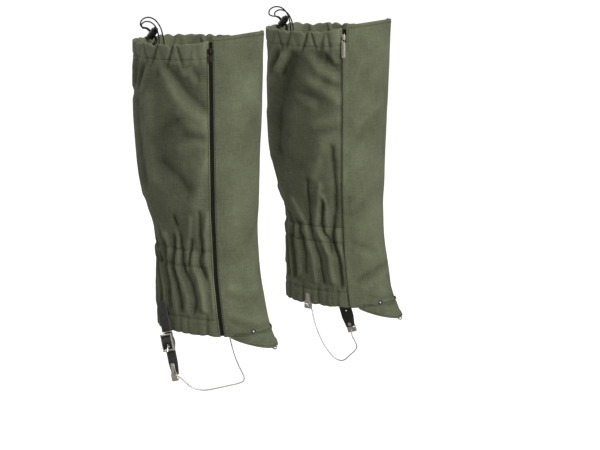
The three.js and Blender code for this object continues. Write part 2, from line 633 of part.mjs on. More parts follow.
function makeGaiter(name, hand) {
  const gaiter = new THREE.Group();

  // A piece drawn in the gaiter's own coordinates.
  const sew = (piece, geometry, material) => {
    const mesh = new THREE.Mesh(reshape(geometry, (p) => p.setY(p.y * hand)), material());
    mesh.name = `${piece}_${name}`;
    gaiter.add(mesh);
  };

  // A piece drawn in a frame of its own, then set at that frame's place and turn.
  const fit = (piece, geometry, material, f) => {
    const flipped = hand < 0;
    const shaped = flipped ? reshape(geometry, (p) => p.set(-p.x, p.y, p.z)) : reshape(geometry);
    const axes = flipped ? [mirrored(f.x).negate(), mirrored(f.y), mirrored(f.z)] : [f.x, f.y, f.z];
    const mesh = new THREE.Mesh(shaped, material());
    mesh.name = `${piece}_${name}`;
    mesh.quaternion.setFromRotationMatrix(new THREE.Matrix4().makeBasis(...axes));
    mesh.position.copy(flipped ? mirrored(f.at) : f.at);
    gaiter.add(mesh);
  };

  sew('front_panel', frontPanel(), shinCloth);
  sew('instep_flap', instepFlap(), shinCloth);
  sew('back_panel', backPanel(), calfCloth);
  const hemBand = joined([band(cloth.hem + 2, cloth.hem + 17, -2.5, -1)], [rivetHole(4)]);
  sew('hem_elastic', hemBand, elastic);
  sew('ankle_elastic', band(ankle.low, ankle.high, -2.5, -1), elastic);

  for (const [zip, side, metal, pull] of [
    [lateralZip, 'lateral', darkZinc, [14, 4.6, 1.4]],
    [medialZip, 'medial', nickel, [27, 5, 2.2]],
  ]) {
    sew(`${side}_zip_front`, zipHalf(zip, 1), zipTape);
    sew(`${side}_zip_back`, zipHalf(zip, -1), zipTape);
    const frame = clothFrame(besideSeam(zipRun.seat, zip.side, 0), zipRun.seat, 0);
    fit(`${side}_zip_slider`, zipSlider(zip), metal, frame);
    const eyeAt = frame.at.clone().addScaledVector(frame.z, crownEye(zip)).addScaledVector(frame.y, -0.2);
    const hang = { ...frame, at: eyeAt };
    fit(`${side}_zip_pull`, zipPull(...pull), metal, hang);
  }

  sew('drawcord', tube(drawcordRoute(), cord.radius, 66), blackCord);
  const tilt = rad(lock.tilt);
  const lockFrame = {
    at: new THREE.Vector3(...lock.at),
    x: new THREE.Vector3(-Math.cos(tilt), 0, Math.sin(tilt)),
    y: new THREE.Vector3(0, -1, 0),
    z: new THREE.Vector3(Math.sin(tilt), 0, Math.cos(tilt)),
  };
  fit('cord_lock_barrel', lockBarrel(), blackPlastic, lockFrame);
  fit('cord_lock_plunger', lockPlunger(), blackPlastic, lockFrame);

  const strapSeat = strapFrame();
  fit('buckle_tab', buckleTab(), leather, strapSeat);
  fit('buckle_loop', buckleLoop(), leather, strapSeat);
  fit('buckle_frame', buckleFrame(), nickel, strapSeat);
  fit('buckle_prong', buckleProng(), nickel, strapSeat);
  fit('strap_lower', lowerStrap(), leather, strapSeat);
  fit('strap_tail', strapTail(), leather, strapSeat);
  fit('wire_clamp', wireClamp(), nickel, strapSeat);
  const back = clampFace() - 0.35 - strap.thick;
  const clampRivet = rivet(back - 0.3, clampFace() + clampPlate.thick + 0.3, 2.7, 1.5);
  fit('clamp_rivet', clampRivet.translate(0, clampPlate.rivet, 0), nickel, strapSeat);

  const clipSeat = clipFrame();
  fit('wire_clip', wireClip(), nickel, clipSeat);
  fit('clip_rivet', rivet(-cloth.wall - 1.3, clip.thick + 0.3, 2.5, 1.1), nickel, clipSeat);
  sew('stirrup_wire', stirrupWire(), steelWire);

  for (const [side, label] of [[-1, 'lateral'], [1, 'medial']]) {
    fit(`eyelet_${label}`, eyeletRing(), darkZinc, clothFrame(rad(eyelet.angle) * side, eyelet.z, 0));
  }
  fit('lace_hook', laceHook(), nickel, clothFrame(0.0001, 85, 0));

  gaiter.position.set((-hand * stance.stride) / 2, (-hand * stance.apart) / 2, 0);
  return gaiter;
}

const gaiters = new THREE.Group();
gaiters.add(makeGaiter('right', 1));
gaiters.add(makeGaiter('left', -1));

export default gaiters;
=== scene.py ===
import bpy, math
import numpy as np
from mathutils import Matrix, Vector


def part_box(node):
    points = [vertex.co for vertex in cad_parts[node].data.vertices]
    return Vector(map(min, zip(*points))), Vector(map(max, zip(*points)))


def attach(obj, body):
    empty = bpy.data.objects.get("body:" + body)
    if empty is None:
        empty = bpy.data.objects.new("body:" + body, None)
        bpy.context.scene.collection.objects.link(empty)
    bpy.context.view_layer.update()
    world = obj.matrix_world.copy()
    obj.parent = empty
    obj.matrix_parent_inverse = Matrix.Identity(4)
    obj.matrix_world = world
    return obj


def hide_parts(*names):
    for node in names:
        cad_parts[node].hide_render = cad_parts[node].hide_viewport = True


# A pair of knee-high walking gaiters. Lengths are millimetres until a mesh is placed, then metres.
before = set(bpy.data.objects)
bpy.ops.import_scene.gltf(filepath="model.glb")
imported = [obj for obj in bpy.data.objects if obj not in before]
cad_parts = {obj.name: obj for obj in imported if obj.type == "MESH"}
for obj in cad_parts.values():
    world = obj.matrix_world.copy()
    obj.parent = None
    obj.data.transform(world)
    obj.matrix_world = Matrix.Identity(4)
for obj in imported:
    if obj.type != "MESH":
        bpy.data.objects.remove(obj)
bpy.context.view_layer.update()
scene = bpy.context.scene
gaiterSides = {"right": 1, "left": -1}  # the left one is the right one mirrored
cameraSet = {"place": (1.5955, -2.2799, 0.771), "turn": (78.7, 0, 34), "lens": 122.3, "sensor": 36}


def addCamera():
    bpy.ops.object.camera_add(location=cameraSet["place"],
                              rotation=[math.radians(a) for a in cameraSet["turn"]])
    camera = bpy.context.object
    camera.data.lens = cameraSet["lens"]
    camera.data.sensor_width = cameraSet["sensor"]
    scene.camera = camera


addCamera()
print("camera placed")


def deselectAll():
    for thing in bpy.context.selected_objects:
        thing.select_set(False)


def workOn(piece):
    deselectAll()
    piece.select_set(True)
    bpy.context.view_layer.objects.active = piece


def applyModifier(piece, kind, **settings):
    workOn(piece)
    added = piece.modifiers.new(kind.title(), kind)
    for key, value in settings.items():
        setattr(added, key, value)
    bpy.ops.object.modifier_apply(modifier=added.name)


# Each step is an edit-mode operator and its settings, run on the whole piece.
def editWhole(piece, *steps):
    workOn(piece)
    bpy.ops.object.mode_set(mode="EDIT")
    for operator, settings in steps:
        bpy.ops.mesh.select_all(action="SELECT")
        operator(**settings)
    bpy.ops.object.mode_set(mode="OBJECT")


def readOut(items, key):
    flat = np.empty(len(items) * 3)
    items.foreach_get(key, flat)
    return flat.reshape(-1, 3)


def smoothOff(piece, angle=35):
    workOn(piece)
    bpy.ops.object.shade_smooth_by_angle(angle=math.radians(angle))


def unit(v):
    return v / np.maximum(np.linalg.norm(v, axis=-1, keepdims=True), 1e-9)


def ease(t):
    t = np.clip(t, 0, 1)
    return t * t * (3 - 2 * t)


# Uneven cloth: a few crossing waves, the same on every run.
def drift(a, b, size, seed):
    total = 0
    for k, (turn, stretch) in enumerate(((0.3, 1.0), (1.45, 1.37), (2.35, 0.81), (0.95, 1.9), (2.9, 2.6))):
        along = (a * math.cos(turn + seed) + b * math.sin(turn + seed)) * stretch / size
        total = total + np.sin(2 * math.pi * along + 1.7 * k + 3.1 * seed) / (1.3 + 0.6 * k)
    return total / 2.2


# A grid whose corners are moved by a rule that takes u and v from 0 to 1.
# The rule gives places and map places in millimetres, and how raised each corner is, with any painted
# highlight added; cloth colours turn this into painted shade in valleys and painted highlight on ridges.
def shapedGrid(name, columns, rows, rule, closed=False):
    deselectAll()
    bpy.ops.mesh.primitive_grid_add(x_subdivisions=columns, y_subdivisions=rows, size=1)
    piece = bpy.context.object
    piece.name = piece.data.name = name
    mesh = piece.data
    flat = np.clip(readOut(mesh.vertices, "co") + 0.5, 0, 1)
    places, mapped, raised = rule(flat[:, 0], flat[:, 1])
    mesh.vertices.foreach_set("co", (places / 1000).ravel())
    corner = np.empty(len(mesh.loops), int)
    mesh.loops.foreach_get("vertex_index", corner)
    mesh.uv_layers[0].data.foreach_set("uv", (mapped[corner] / 1000).ravel())
    height = mesh.attributes.new("foldHeight", "FLOAT", "POINT")
    height.data.foreach_set("value", np.asarray(raised, np.float32))
    mesh.update()
    if closed:
        editWhole(piece, (bpy.ops.mesh.remove_doubles, {"threshold": 1e-6}),
                  (bpy.ops.mesh.fill_holes, {"sides": 0}),
                  (bpy.ops.mesh.normals_make_consistent, {"inside": False}))
    return piece


# Turns a sheet's faces away from the leg, then gives it a wall on the inside.
def wallInside(piece, hand, wall):
    legAxis = standing(np.zeros((1, 3)), hand) / 1000
    away = (readOut(piece.data.polygons, "center") - legAxis) * [1, 1, 0]
    if (readOut(piece.data.polygons, "normal") * away).sum() < 0:
        piece.data.flip_normals()
    applyModifier(piece, "SOLIDIFY", thickness=wall / 1000, offset=-1, use_rim=True)
    workOn(piece)
    bpy.ops.object.shade_smooth()


stance = {"apart": 117, "stride": 26.5}
legShape = {
    "z": [76, 97, 115, 143, 175, 205, 235, 262, 290, 330, 400, 465, 510],
    "rear": [-57, -58, -58.5, -58.6, -58.5, -59.5, -64, -73, -81, -87, -90, -88.5, -88],
    "centre": [20, 19, 18, 17, 14, 11.5, 8, 5],
    "front": [95, 94, 93, 91.5, 86, 82.5, 81, 81.5],
    "half": [55, 55, 55, 54.5, 53.8, 53.5, 56, 60],
    "flare": [28, 16, 8, 1.5, 0, 0, 0, 0, 0, 0, 0, 0, 0],
    "seam": [51.5, 52, 53, 54.5, 54, 53, 51.3, 50, 50, 50, 50, 50, 50],
    "roundness": 2 / 2.3,
}
cutting = {"hem": 95, "backRim": 481, "frontTop": 494, "crown": 4, "seamRise": 9, "gapeLength": 33,
           "lateralEdge": 2.5, "medialEdge": 1.4, "gape": 2.2}


# Above their last level these three run straight to the top.
def straightenTop():
    levels = legShape["z"]
    for key, top in {"centre": 0, "front": 90, "half": 70}.items():
        given = len(legShape[key])
        low, start = levels[given - 1], legShape[key][-1]
        legShape[key] += [start + (top - start) * (z - low) / (levels[-1] - low) for z in levels[given:]]


straightenTop()


def between(z, key):
    levels = np.array(legShape["z"], float)
    values = np.array(legShape[key], float)
    last = len(levels) - 1
    low = np.maximum(np.arange(last + 1) - 1, 0)
    high = np.minimum(np.arange(last + 1) + 1, last)
    slope = (values[high] - values[low]) / (levels[high] - levels[low])
    i = np.clip(np.searchsorted(levels, z, side="left") - 1, 0, last - 1)
    span = levels[i + 1] - levels[i]
    t = np.clip((z - levels[i]) / span, 0, 1)
    s = 1 - t
    return (s * s * (1 + 2 * t) * values[i] + t * t * (3 - 2 * t) * values[i + 1]
            + s * s * t * span * slope[i] - t * t * s * span * slope[i + 1])


def legPoint(angle, z):
    ahead, aside = np.cos(angle), np.sin(angle)
    centre = between(z, "centre")
    power = legShape["roundness"]
    reach = np.where(ahead > 0, between(z, "front") - centre, centre - between(z, "rear"))
    flare = between(z, "flare") * np.maximum(ahead, 0) ** 6
    x = centre + reach * np.sign(ahead) * np.abs(ahead) ** power + flare
    y = between(z, "half") * np.sign(aside) * np.abs(aside) ** power
    return np.stack([x, y, z + 0 * x], -1)


def legNormal(angle, z):
    across = legPoint(angle + 2e-3, z) - legPoint(angle - 2e-3, z)
    up = legPoint(angle, z + 0.5) - legPoint(angle, z - 0.5)
    return unit(np.cross(across, up))


# Lengths round the cloth: half of each level from dead ahead to the rear, and the angle for a length.
def measureLevels():
    levels = np.arange(60, 520.1, 4.0)
    angles = np.linspace(0, math.pi, 1201)
    shares = np.linspace(0, 1, 601)
    halves, seams, lookup = [], [], []
    for z in levels:
        line = legPoint(angles, np.full_like(angles, z))
        run = np.concatenate([[0], np.cumsum(np.linalg.norm(np.diff(line, axis=0), axis=1))])
        halves.append(run[-1])
        seams.append(np.interp(math.radians(float(between(z, "seam"))), angles, run))
        lookup.append(np.interp(shares, run / run[-1], angles))
    return levels, np.array(halves), np.array(seams), np.array(lookup)


levels, halfRuns, seamRuns, angleLookup = measureLevels()


def halfRun(z):
    return np.interp(z, levels, halfRuns)


def seamRun(z):
    return np.interp(z, levels, seamRuns)


# The angle at a run of cloth from dead ahead, on one side.
def angleAt(side, run, z):
    share = np.clip(run / halfRun(z), 0, 1) * (angleLookup.shape[1] - 1)
    row = np.clip((z - levels[0]) / (levels[1] - levels[0]), 0, len(levels) - 1.001)
    i, j = row.astype(int), np.minimum(share.astype(int), angleLookup.shape[1] - 2)
    a, b = row - i, share - j
    low = angleLookup[i, j] * (1 - b) + angleLookup[i, j + 1] * b
    high = angleLookup[i + 1, j] * (1 - b) + angleLookup[i + 1, j + 1] * b
    return side * (low * (1 - a) + high * a)


def standing(points, hand):
    return points * [1, hand, 1] + [-hand * stance["stride"], -hand * stance["apart"], 0]


# Each fold is how far it stands out, its half width, and its line: run back from the seam, and height.
lateralFolds = [
    (-2.6, 3.2, [(19, 262), (19, 241), (19, 221), (18, 207), (22, 199), (21, 187), (15, 175)]),
    (-2.0, 2.6, [(32, 222), (33, 209), (35, 197), (36, 190)]),
    (-2.8, 3.4, [(57, 252), (49, 224), (48, 205), (48, 195), (47, 187), (34, 159), (34, 135), (40, 117)]),
    (-2.4, 3.2, [(59, 225), (61, 203), (63, 193), (65, 185), (58, 149), (55, 117)]),
    (-2.2, 3.6, [(112, 268), (90, 240), (80, 210), (76, 191), (80, 180), (76, 161), (77, 129)]),
    (-2.4, 3.2, [(120, 240), (106, 216), (94, 200), (89, 189)]),
    (-2.4, 3.0, [(102, 195), (102, 187), (97, 157), (97, 132)]),
    (-2.4, 3.4, [(141, 255), (126, 218), (117, 198), (115, 180), (112, 150), (110, 125)]),
    (-2.2, 3.2, [(138, 228), (131, 200), (130, 180), (128, 150), (126, 125)]),
    (-2.0, 3.2, [(147, 215), (145, 190), (146, 160), (144, 130)]),
    (1.6, 3.4, [(7, 261), (12, 231), (12, 211), (11, 189), (6, 169), (6, 123)]),
    (2.6, 4.2, [(29, 207), (31, 187), (24, 171), (21, 150), (21, 130)]),
    (1.4, 3.2, [(32, 253), (35, 229), (39, 207), (39, 195), (39, 181)]),
    (1.8, 3.6, [(53, 237), (54, 205), (55, 195), (59, 185), (47, 149), (47, 122)]),
    (1.8, 3.8, [(75, 227), (70, 205), (74, 185), (67, 147), (65, 119)]),
    (1.8, 4.2, [(118, 284), (104, 260), (86, 236), (79, 222)]),
    (1.6, 3.4, [(95, 202), (94, 185), (88, 155), (87, 125)]),
    (1.6, 3.6, [(108, 205), (109, 185), (104, 155), (103, 125)]),
    (1.6, 3.6, [(123, 208), (123, 185), (119, 150), (118, 125)]),
    (1.6, 3.6, [(138, 208), (138, 180), (136, 150), (135, 128)]),
    (2.8, 9, [(78, 452), (66, 441), (53, 419), (31, 395), (14, 385)]),
    (1.6, 6, [(29, 449), (24, 437), (15, 433)]),
    (2.0, 8, [(44, 391), (28, 375), (9, 370)]),
    (1.8, 8, [(44, 345), (25, 353), (9, 353)]),
    (1.8, 8, [(24, 268), (20, 290), (17, 313), (9, 332)]),
    (2.0, 8, [(134, 275), (143, 340), (146, 400)]),
    (-2.6, 9, [(66, 456), (50, 440), (34, 421), (14, 404)]),
    (-1.8, 7, [(36, 362), (15, 360)]),
    (-2.0, 9, [(72, 370), (40, 386)]),
    (-2.4, 10, [(34, 290), (46, 306), (74, 324)]),
    (-2.2, 9, [(112, 292), (124, 340), (128, 400)]),
    (1.8, 9, [(92, 300), (100, 350), (96, 410)]),
    (-2.4, 5, [(98, 470), (106, 450), (122, 424)]),
    (2.0, 5, [(88, 468), (97, 446), (110, 420)]),
    (-2.2, 5, [(26, 466), (24, 450), (17, 436)]),
    (1.8, 4, [(44, 466), (42, 454), (36, 444)]),
    (-2.0, 4, [(82, 470), (80, 456), (76, 442)]),
    (2.0, 5, [(134, 470), (140, 448), (152, 420)]),
    (-2.0, 5, [(120, 468), (128, 448), (138, 426)]),
]
medialFolds = [
    (-3.2, 3.8, [(17, 322), (14, 285), (11, 262), (13, 233), (17, 213), (17, 203), (18, 193), (11, 167),
                 (11, 123)]),
    (-2.2, 2.8, [(30, 243), (32, 227), (34, 211), (30, 201), (24, 191), (21, 175)]),
    (-2.4, 3.4, [(53, 273), (53, 243), (53, 209), (50, 200), (49, 191), (41, 165), (37, 129)]),
    (-2.4, 3.4, [(126, 247), (94, 223), (70, 207), (71, 197), (67, 189), (63, 169), (67, 139)]),
    (-2.4, 3.2, [(107, 229), (83, 207), (84, 195), (91, 185), (89, 157), (88, 130)]),
    (-2.2, 3.2, [(128, 238), (110, 212), (104, 191), (106, 165), (104, 130)]),
    (-2.2, 3.2, [(130, 215), (120, 195), (121, 170), (118, 138)]),
    (-2.0, 3.0, [(142, 225), (136, 200), (136, 168), (133, 132)]),
    (1.6, 3.2, [(30, 253), (25, 239), (25, 213), (26, 200)]),
    (2.4, 4.0, [(34, 267), (39, 231), (42, 211), (38, 200), (34, 189), (24, 167), (22, 131)]),
    (1.6, 3.2, [(10, 206), (10, 189), (4, 153), (3, 121)]),
    (1.8, 3.6, [(83, 243), (72, 227), (61, 209), (60, 200), (58, 189), (51, 165), (50, 129)]),
    (1.8, 3.6, [(126, 255), (98, 231), (78, 209), (79, 187), (76, 165), (77, 135)]),
    (1.6, 3.4, [(97, 205), (98, 187), (97, 160), (96, 130)]),
    (1.6, 3.4, [(112, 203), (113, 180), (111, 150), (110, 128)]),
    (1.6, 3.4, [(128, 202), (128, 175), (126, 145)]),
    (2.8, 9, [(72, 466), (58, 455), (45, 445), (33, 429), (16, 421)]),
    (2.2, 9, [(50, 414), (27, 401), (11, 391)]),
    (1.8, 8, [(40, 351), (18, 359), (9, 363)]),
    (1.6, 8, [(70, 393), (48, 380)]),
    (1.8, 9, [(44, 280), (36, 300), (31, 329)]),
    (2.4, 8, [(128, 400), (117, 419), (97, 436), (80, 462)]),
    (-2.6, 8, [(50, 460), (31, 447), (11, 434)]),
    (-2.0, 7, [(36, 389), (50, 394), (70, 396)]),
    (-1.6, 6, [(29, 414), (11, 410)]),
    (-1.6, 7, [(27, 345), (13, 349)]),
    (-2.8, 12, [(69, 452), (90, 411), (103, 365), (106, 310)]),
    (1.8, 9, [(134, 300), (140, 360)]),
    (-2.6, 5, [(72, 470), (77, 452), (92, 432), (98, 420)]),
    (2.2, 5, [(86, 468), (92, 450), (108, 426)]),
    (-2.4, 5, [(99, 470), (104, 450), (118, 420)]),
    (2.0, 5, [(112, 468), (118, 446), (130, 416)]),
    (-2.0, 4, [(30, 466), (28, 456), (24, 448)]),
    (1.8, 4, [(20, 466), (18, 452), (12, 442)]),
    (-2.0, 5, [(142, 468), (148, 446), (158, 420)]),
]
# Short gathers across the rim's channel and the hem: runs back from each seam.
gathers = {
    "rimLateral": [18, 27, 42, 58, 71, 84, 99, 113, 127, 142, 157, 171, 184],
    "rimMedial": [21, 31, 42, 57, 71, 85, 99, 114, 129, 144, 158, 172],
    "hemLateral": [21, 34, 49, 62, 76, 89, 103, 117, 131, 146],
    "hemMedial": [11, 19, 26, 36, 49, 61, 75, 89, 103, 118, 133],
    "rimDepth": 3.8, "rimWidth": 3.2, "hemDepth": 2.4, "hemWidth": 3.0,
    "scallop": 4.2, "hemWave": 1.7, "edgeWidth": 4.5, "rimLean": 0.42, "hemLean": 0.08,
}
# How the calf cloth lies between them: where rim and hem begin, and how far each part stands out.
calfDrape = {
    "wander": 37, "boost": 1.4, "rimFrom": 444, "rimBlend": 18, "hemTo": 130, "hemBlend": 12, "hemCalm": 0.75,
    "seamCalm": 9, "rimPuff": 1.3, "hemPuff": 1.2, "rowSag": 0.9, "rowSize": 23, "rowHalf": 1.7,
    "ankleSwell": 0.9, "ankleMiddle": 198, "ankleHalf": 8, "rolling": (0.55, 58), "ripple": (0.16, 13),
    "rowDents": {"channel": 1.1, "ankleLow": 1.1, "ankleHigh": 1.2, "hem": 1.0},
}
rows = {"channel": 461.5, "ankleLow": 187, "ankleHigh": 209, "hem": 117}
# Folds in each front panel: how far out, half width, and the line in degrees from ahead and height.
frontFolds = {
    "right": [
        (-1.3, 5, [(-44, 150), (-26, 143), (-6, 140), (14, 145)]),
        (1.2, 6, [(-40, 160), (-18, 154), (4, 156)]),
        (1.5, 5, [(-42, 126), (-24, 119), (-8, 114)]),
        (-2.0, 3.6, [(-42, 115), (-26, 108), (-8, 105), (14, 104.5)]),
        (-1.2, 6, [(2, 228), (20, 240)]),
        (1.2, 10, [(-30, 330), (-20, 290), (-24, 250)]),
        (-1.2, 9, [(8, 380), (22, 350)]),
        (1.0, 10, [(-10, 420), (14, 400)]),
        (-1.0, 8, [(18, 172), (28, 160), (30, 140)]),
    ],
    "left": [
        (-1.7, 4.5, [(44, 187), (26, 181), (8, 172)]),
        (1.2, 5, [(40, 174), (18, 166)]),
        (-2.6, 4.4, [(42, 133), (26, 141), (5, 148), (-20, 150)]),
        (2.0, 6, [(36, 122), (18, 132), (-2, 138)]),
        (-1.8, 4.2, [(-4, 136), (-16, 128), (-20, 120)]),
        (-1.8, 3.4, [(26, 108), (8, 107), (-16, 105)]),
        (1.6, 8, [(34, 355), (12, 372), (-2, 378)]),
        (-1.4, 8, [(34, 335), (14, 348)]),
        (1.4, 9, [(40, 240), (20, 262), (4, 275)]),
        (-1.2, 7, [(44, 225), (24, 240)]),
        (-1.0, 9, [(-8, 400), (-16, 350), (-14, 300)]),
    ],
}


shinCut = {"skin": 1.3, "wall": 0.9, "columns": 96, "rows": 176, "lap": 1.3, "lapRise": 1.3,
           "turnIn": 12, "foldRadius": 0.9, "footRise": 3, "perDegree": 1.4}
frontLines = {name: [(high, wide, [(a * shinCut["perDegree"], z) for a, z in line])
                     for high, wide, line in folds]
              for name, folds in frontFolds.items()}


# Adds up folds at places (a, z). The valleys are sharper than the ridges.
def foldHeight(folds, a, z):
    total = np.zeros_like(a)
    for height, width, line in folds:
        reach = np.full_like(a, 1e9)
        for (a0, z0), (a1, z1) in zip(line, line[1:]):
            da, dz = a1 - a0, z1 - z0
            t = np.clip(((a - a0) * da + (z - z0) * dz) / (da * da + dz * dz), 0, 1)
            reach = np.minimum(reach, np.hypot(a - a0 - t * da, z - z0 - t * dz))
        power = 1.3 if height < 0 else 2
        total += height * np.exp(-((reach / width) ** power))
    return total


def gatherDepth(runs, d, width, lean=0):
    depth = np.zeros_like(d)
    for i, at in enumerate(runs):
        strength = 0.66 + 0.34 * math.sin(2.4 * i + at)
        own = width * (0.95 + 0.4 * math.sin(1.7 * i + 0.6))
        off = np.abs(d - at - lean * math.sin(3.3 * i + 0.5))
        depth = np.maximum(depth, strength * np.exp(-(off / own) ** 1.4))
    return depth


def bothGathers(edge, fromMedial, fromLateral, width, lean=0):
    return np.maximum(gatherDepth(gathers[edge + "Medial"], fromMedial, width, lean),
                      gatherDepth(gathers[edge + "Lateral"], fromLateral, width, lean))


# How far the calf cloth stands out at a run back from the medial seam.
def calfFold(fromMedial, fromLateral, z, hand):
    lie = calfDrape
    wobble = drift(fromMedial, z, lie["wander"], 0.4 + 0.2 * hand)
    fold = foldHeight(medialFolds, fromMedial + wobble, z) + foldHeight(lateralFolds, fromLateral - wobble, z)
    atRim = ease((z - lie["rimFrom"]) / lie["rimBlend"])
    atHem = ease((lie["hemTo"] - z) / lie["hemBlend"])
    fold = lie["boost"] * fold * (1 - atRim) * (1 - lie["hemCalm"] * atHem)
    nearSeam = ease(np.minimum(fromMedial, fromLateral) / lie["seamCalm"])
    rim = bothGathers("rim", fromMedial, fromLateral, gathers["rimWidth"], gathers["rimLean"] * (z - 466))
    slant = gathers["hemLean"] * (z - cutting["hem"])
    hem = bothGathers("hem", fromMedial + slant, fromLateral + slant, gathers["hemWidth"])
    fold += atRim * (lie["rimPuff"] - gathers["rimDepth"] * rim) * nearSeam
    fold += atHem * (lie["hemPuff"] - gathers["hemDepth"] * hem) * nearSeam
    line = drift(fromMedial, z * 0, lie["rowSize"], 1.3)
    for key, deep in lie["rowDents"].items():
        off = np.abs(z - rows[key] - lie["rowSag"] * line)
        fold -= deep * np.exp(-((off / lie["rowHalf"]) ** 1.6)) * (0.35 + 0.65 * nearSeam)
    fold += lie["ankleSwell"] * np.exp(-(((z - lie["ankleMiddle"]) / lie["ankleHalf"]) ** 2)) * nearSeam
    rolling, ripple = lie["rolling"], lie["ripple"]
    fold += (rolling[0] * drift(fromMedial, z * 0.7, rolling[1], 0.9 * hand)
             + ripple[0] * drift(fromMedial, z * 0.6, ripple[1], 2.1)) * nearSeam
    return fold * (0.25 + 0.75 * nearSeam)


def calfSkin(fromMedial, z, out, hand):
    full = 2 * (halfRun(z) - seamRun(z))
    fromLateral = full - fromMedial
    side = np.where(fromMedial <= full / 2, 1, -1)
    fromSeam = np.minimum(fromMedial, fromLateral)
    angle = angleAt(side, seamRun(z) + fromSeam, z)
    top = np.clip((z - 430) / (cutting["backRim"] - 430), 0, 1)
    sideways = ((math.pi - np.abs(angle)) / (math.pi - math.radians(50))) ** 6
    rim = bothGathers("rim", fromMedial, fromLateral, gathers["edgeWidth"])
    hem = bothGathers("hem", fromMedial, fromLateral, gathers["edgeWidth"])
    scallop = 1.2 - gathers["scallop"] * rim + 1.5 * drift(fromMedial, z * 0, 61, 0.2)
    lift = cutting["seamRise"] * top * sideways
    lift += scallop * ease((z - 462) / 18) * (1 - sideways)
    lift += (gathers["hemWave"] * hem - 0.8) * ease((112 - z) / 16) * ease(fromSeam / 8)
    fold = calfFold(fromMedial, fromLateral, z, hand)
    normal = legNormal(angle, z)
    return legPoint(angle, z + lift) + normal * (out + fold)[:, None], normal, fold


def seamGap(edge, gape, z):
    return edge + gape * np.clip((z - cutting["frontTop"]) / cutting["gapeLength"] + 1, 0, 1)


# The front cloth at a signed run from dead ahead: medial is positive.
def shinSkin(run, z, out, name):
    hand = gaiterSides[name]
    side = np.where(run >= 0, 1, -1)
    angle = angleAt(side, np.abs(run), z)
    middle = np.cos(angle * 1.6) ** 2
    top = np.clip((z - 450) / (cutting["frontTop"] - 450), 0, 1)
    foot = np.clip((cutting["hem"] + 13 - z) / 13, 0, 1)
    toSeam = seamRun(z) - np.abs(run)
    fold = foldHeight(frontLines[name], np.degrees(angle) * shinCut["perDegree"], z)
    fold += 0.7 * drift(run, z * 0.6, 90, 1.1 * hand) + 0.22 * drift(run, z * 0.5, 26, 0.7)
    fold *= ease(toSeam / 14) * (1 - 0.7 * ease((z - 470) / 20))
    lap = ease((run - seamRun(z) + 7) / 7) * (1 - ease((z - 452) / 12))
    normal = legNormal(angle, z)
    rise = cutting["crown"] * middle * top + shinCut["footRise"] * foot * middle
    standOut = out + fold + shinCut["lapRise"] * lap
    return legPoint(angle, z + rise) + normal * standOut[:, None], normal, fold


# The calf cloth's rim and seam paleness is painted highlight, added to its fold attribute: the rim's lip lit
# from above, and the cloth beside the seams turned towards the lamp.
calfCut = {"skin": 1.2, "wall": 0.8, "columns": 190, "rows": 214, "facing": 3.6, "rimTurn": 20, "hemTurn": 18,
           "spread": 360, "overSeam": 0.8, "rimPaintedHighlight": 3.0, "seamPaintedHighlight": 1.6, "seamReach": 34}
flapCut = {"skin": 1.3, "wall": 0.9, "columns": 70, "rows": 16, "reach": 43, "drop": 18, "band": 3.4,
           "raised": 0.5, "tuck": 4, "under": 1.15}


# Height and depth along a cloth's length, round a turned-in edge at the foot and at the top.
def turnedProfile(share, low, high, footTurn, topTurn, deep):
    bend = math.pi * deep / 2
    stops = np.cumsum([0, footTurn, bend if footTurn else 0, high - low, bend, topTurn])
    at = share * stops[-1]
    z, out = np.empty_like(at), np.empty_like(at)
    for i, t in enumerate(at):
        if t < stops[1]:
            z[i], out[i] = low + deep / 2 + stops[1] - t, -deep
        elif t < stops[2]:
            turn = math.pi * (t - stops[1]) / bend
            z[i], out[i] = low + deep / 2 - math.sin(turn) * deep / 2, -deep / 2 - math.cos(turn) * deep / 2
        elif t < stops[3]:
            begin = low + (deep / 2 if footTurn else 0)
            z[i], out[i] = begin + (t - stops[2]) / (stops[3] - stops[2]) * (high - deep / 2 - begin), 0
        elif t < stops[4]:
            turn = math.pi * (t - stops[3]) / bend
            z[i], out[i] = high - deep / 2 + math.sin(turn) * deep / 2, -deep / 2 + math.cos(turn) * deep / 2
        else:
            z[i], out[i] = high - deep / 2 - (t - stops[4]), -deep
    return z, out, at


def sewCalfPanel(name, hand):
    over = calfCut["overSeam"]

    def rule(u, v):
        z, out, length = turnedProfile(v, cutting["hem"], cutting["backRim"], calfCut["hemTurn"],
                                       calfCut["rimTurn"], calfCut["facing"])
        full = 2 * (halfRun(z) - seamRun(z))
        fromEdge = seamGap(cutting["medialEdge"] - over, cutting["gape"] + over, z)
        toEdge = full - seamGap(cutting["lateralEdge"], 0, z)
        fromMedial = fromEdge + u * (toEdge - fromEdge)
        spots, _, fold = calfSkin(fromMedial, z, calfCut["skin"] + out, hand)
        fromSeam = np.minimum(fromMedial, full - fromMedial)
        # Painted highlight: the top of the rim and the cloth near each seam are made paler where the light
        # falls on them.
        paintedHighlight = calfCut["rimPaintedHighlight"] * ease((z - 452) / 12)
        paintedHighlight += calfCut["seamPaintedHighlight"] * (1 - ease(fromSeam / calfCut["seamReach"]))
        return standing(spots, hand), np.stack([u * calfCut["spread"], length], -1), fold + paintedHighlight
    piece = shapedGrid(f"calfPanel_{name}", calfCut["columns"], calfCut["rows"], rule)
    wallInside(piece, hand, calfCut["wall"])
    return piece


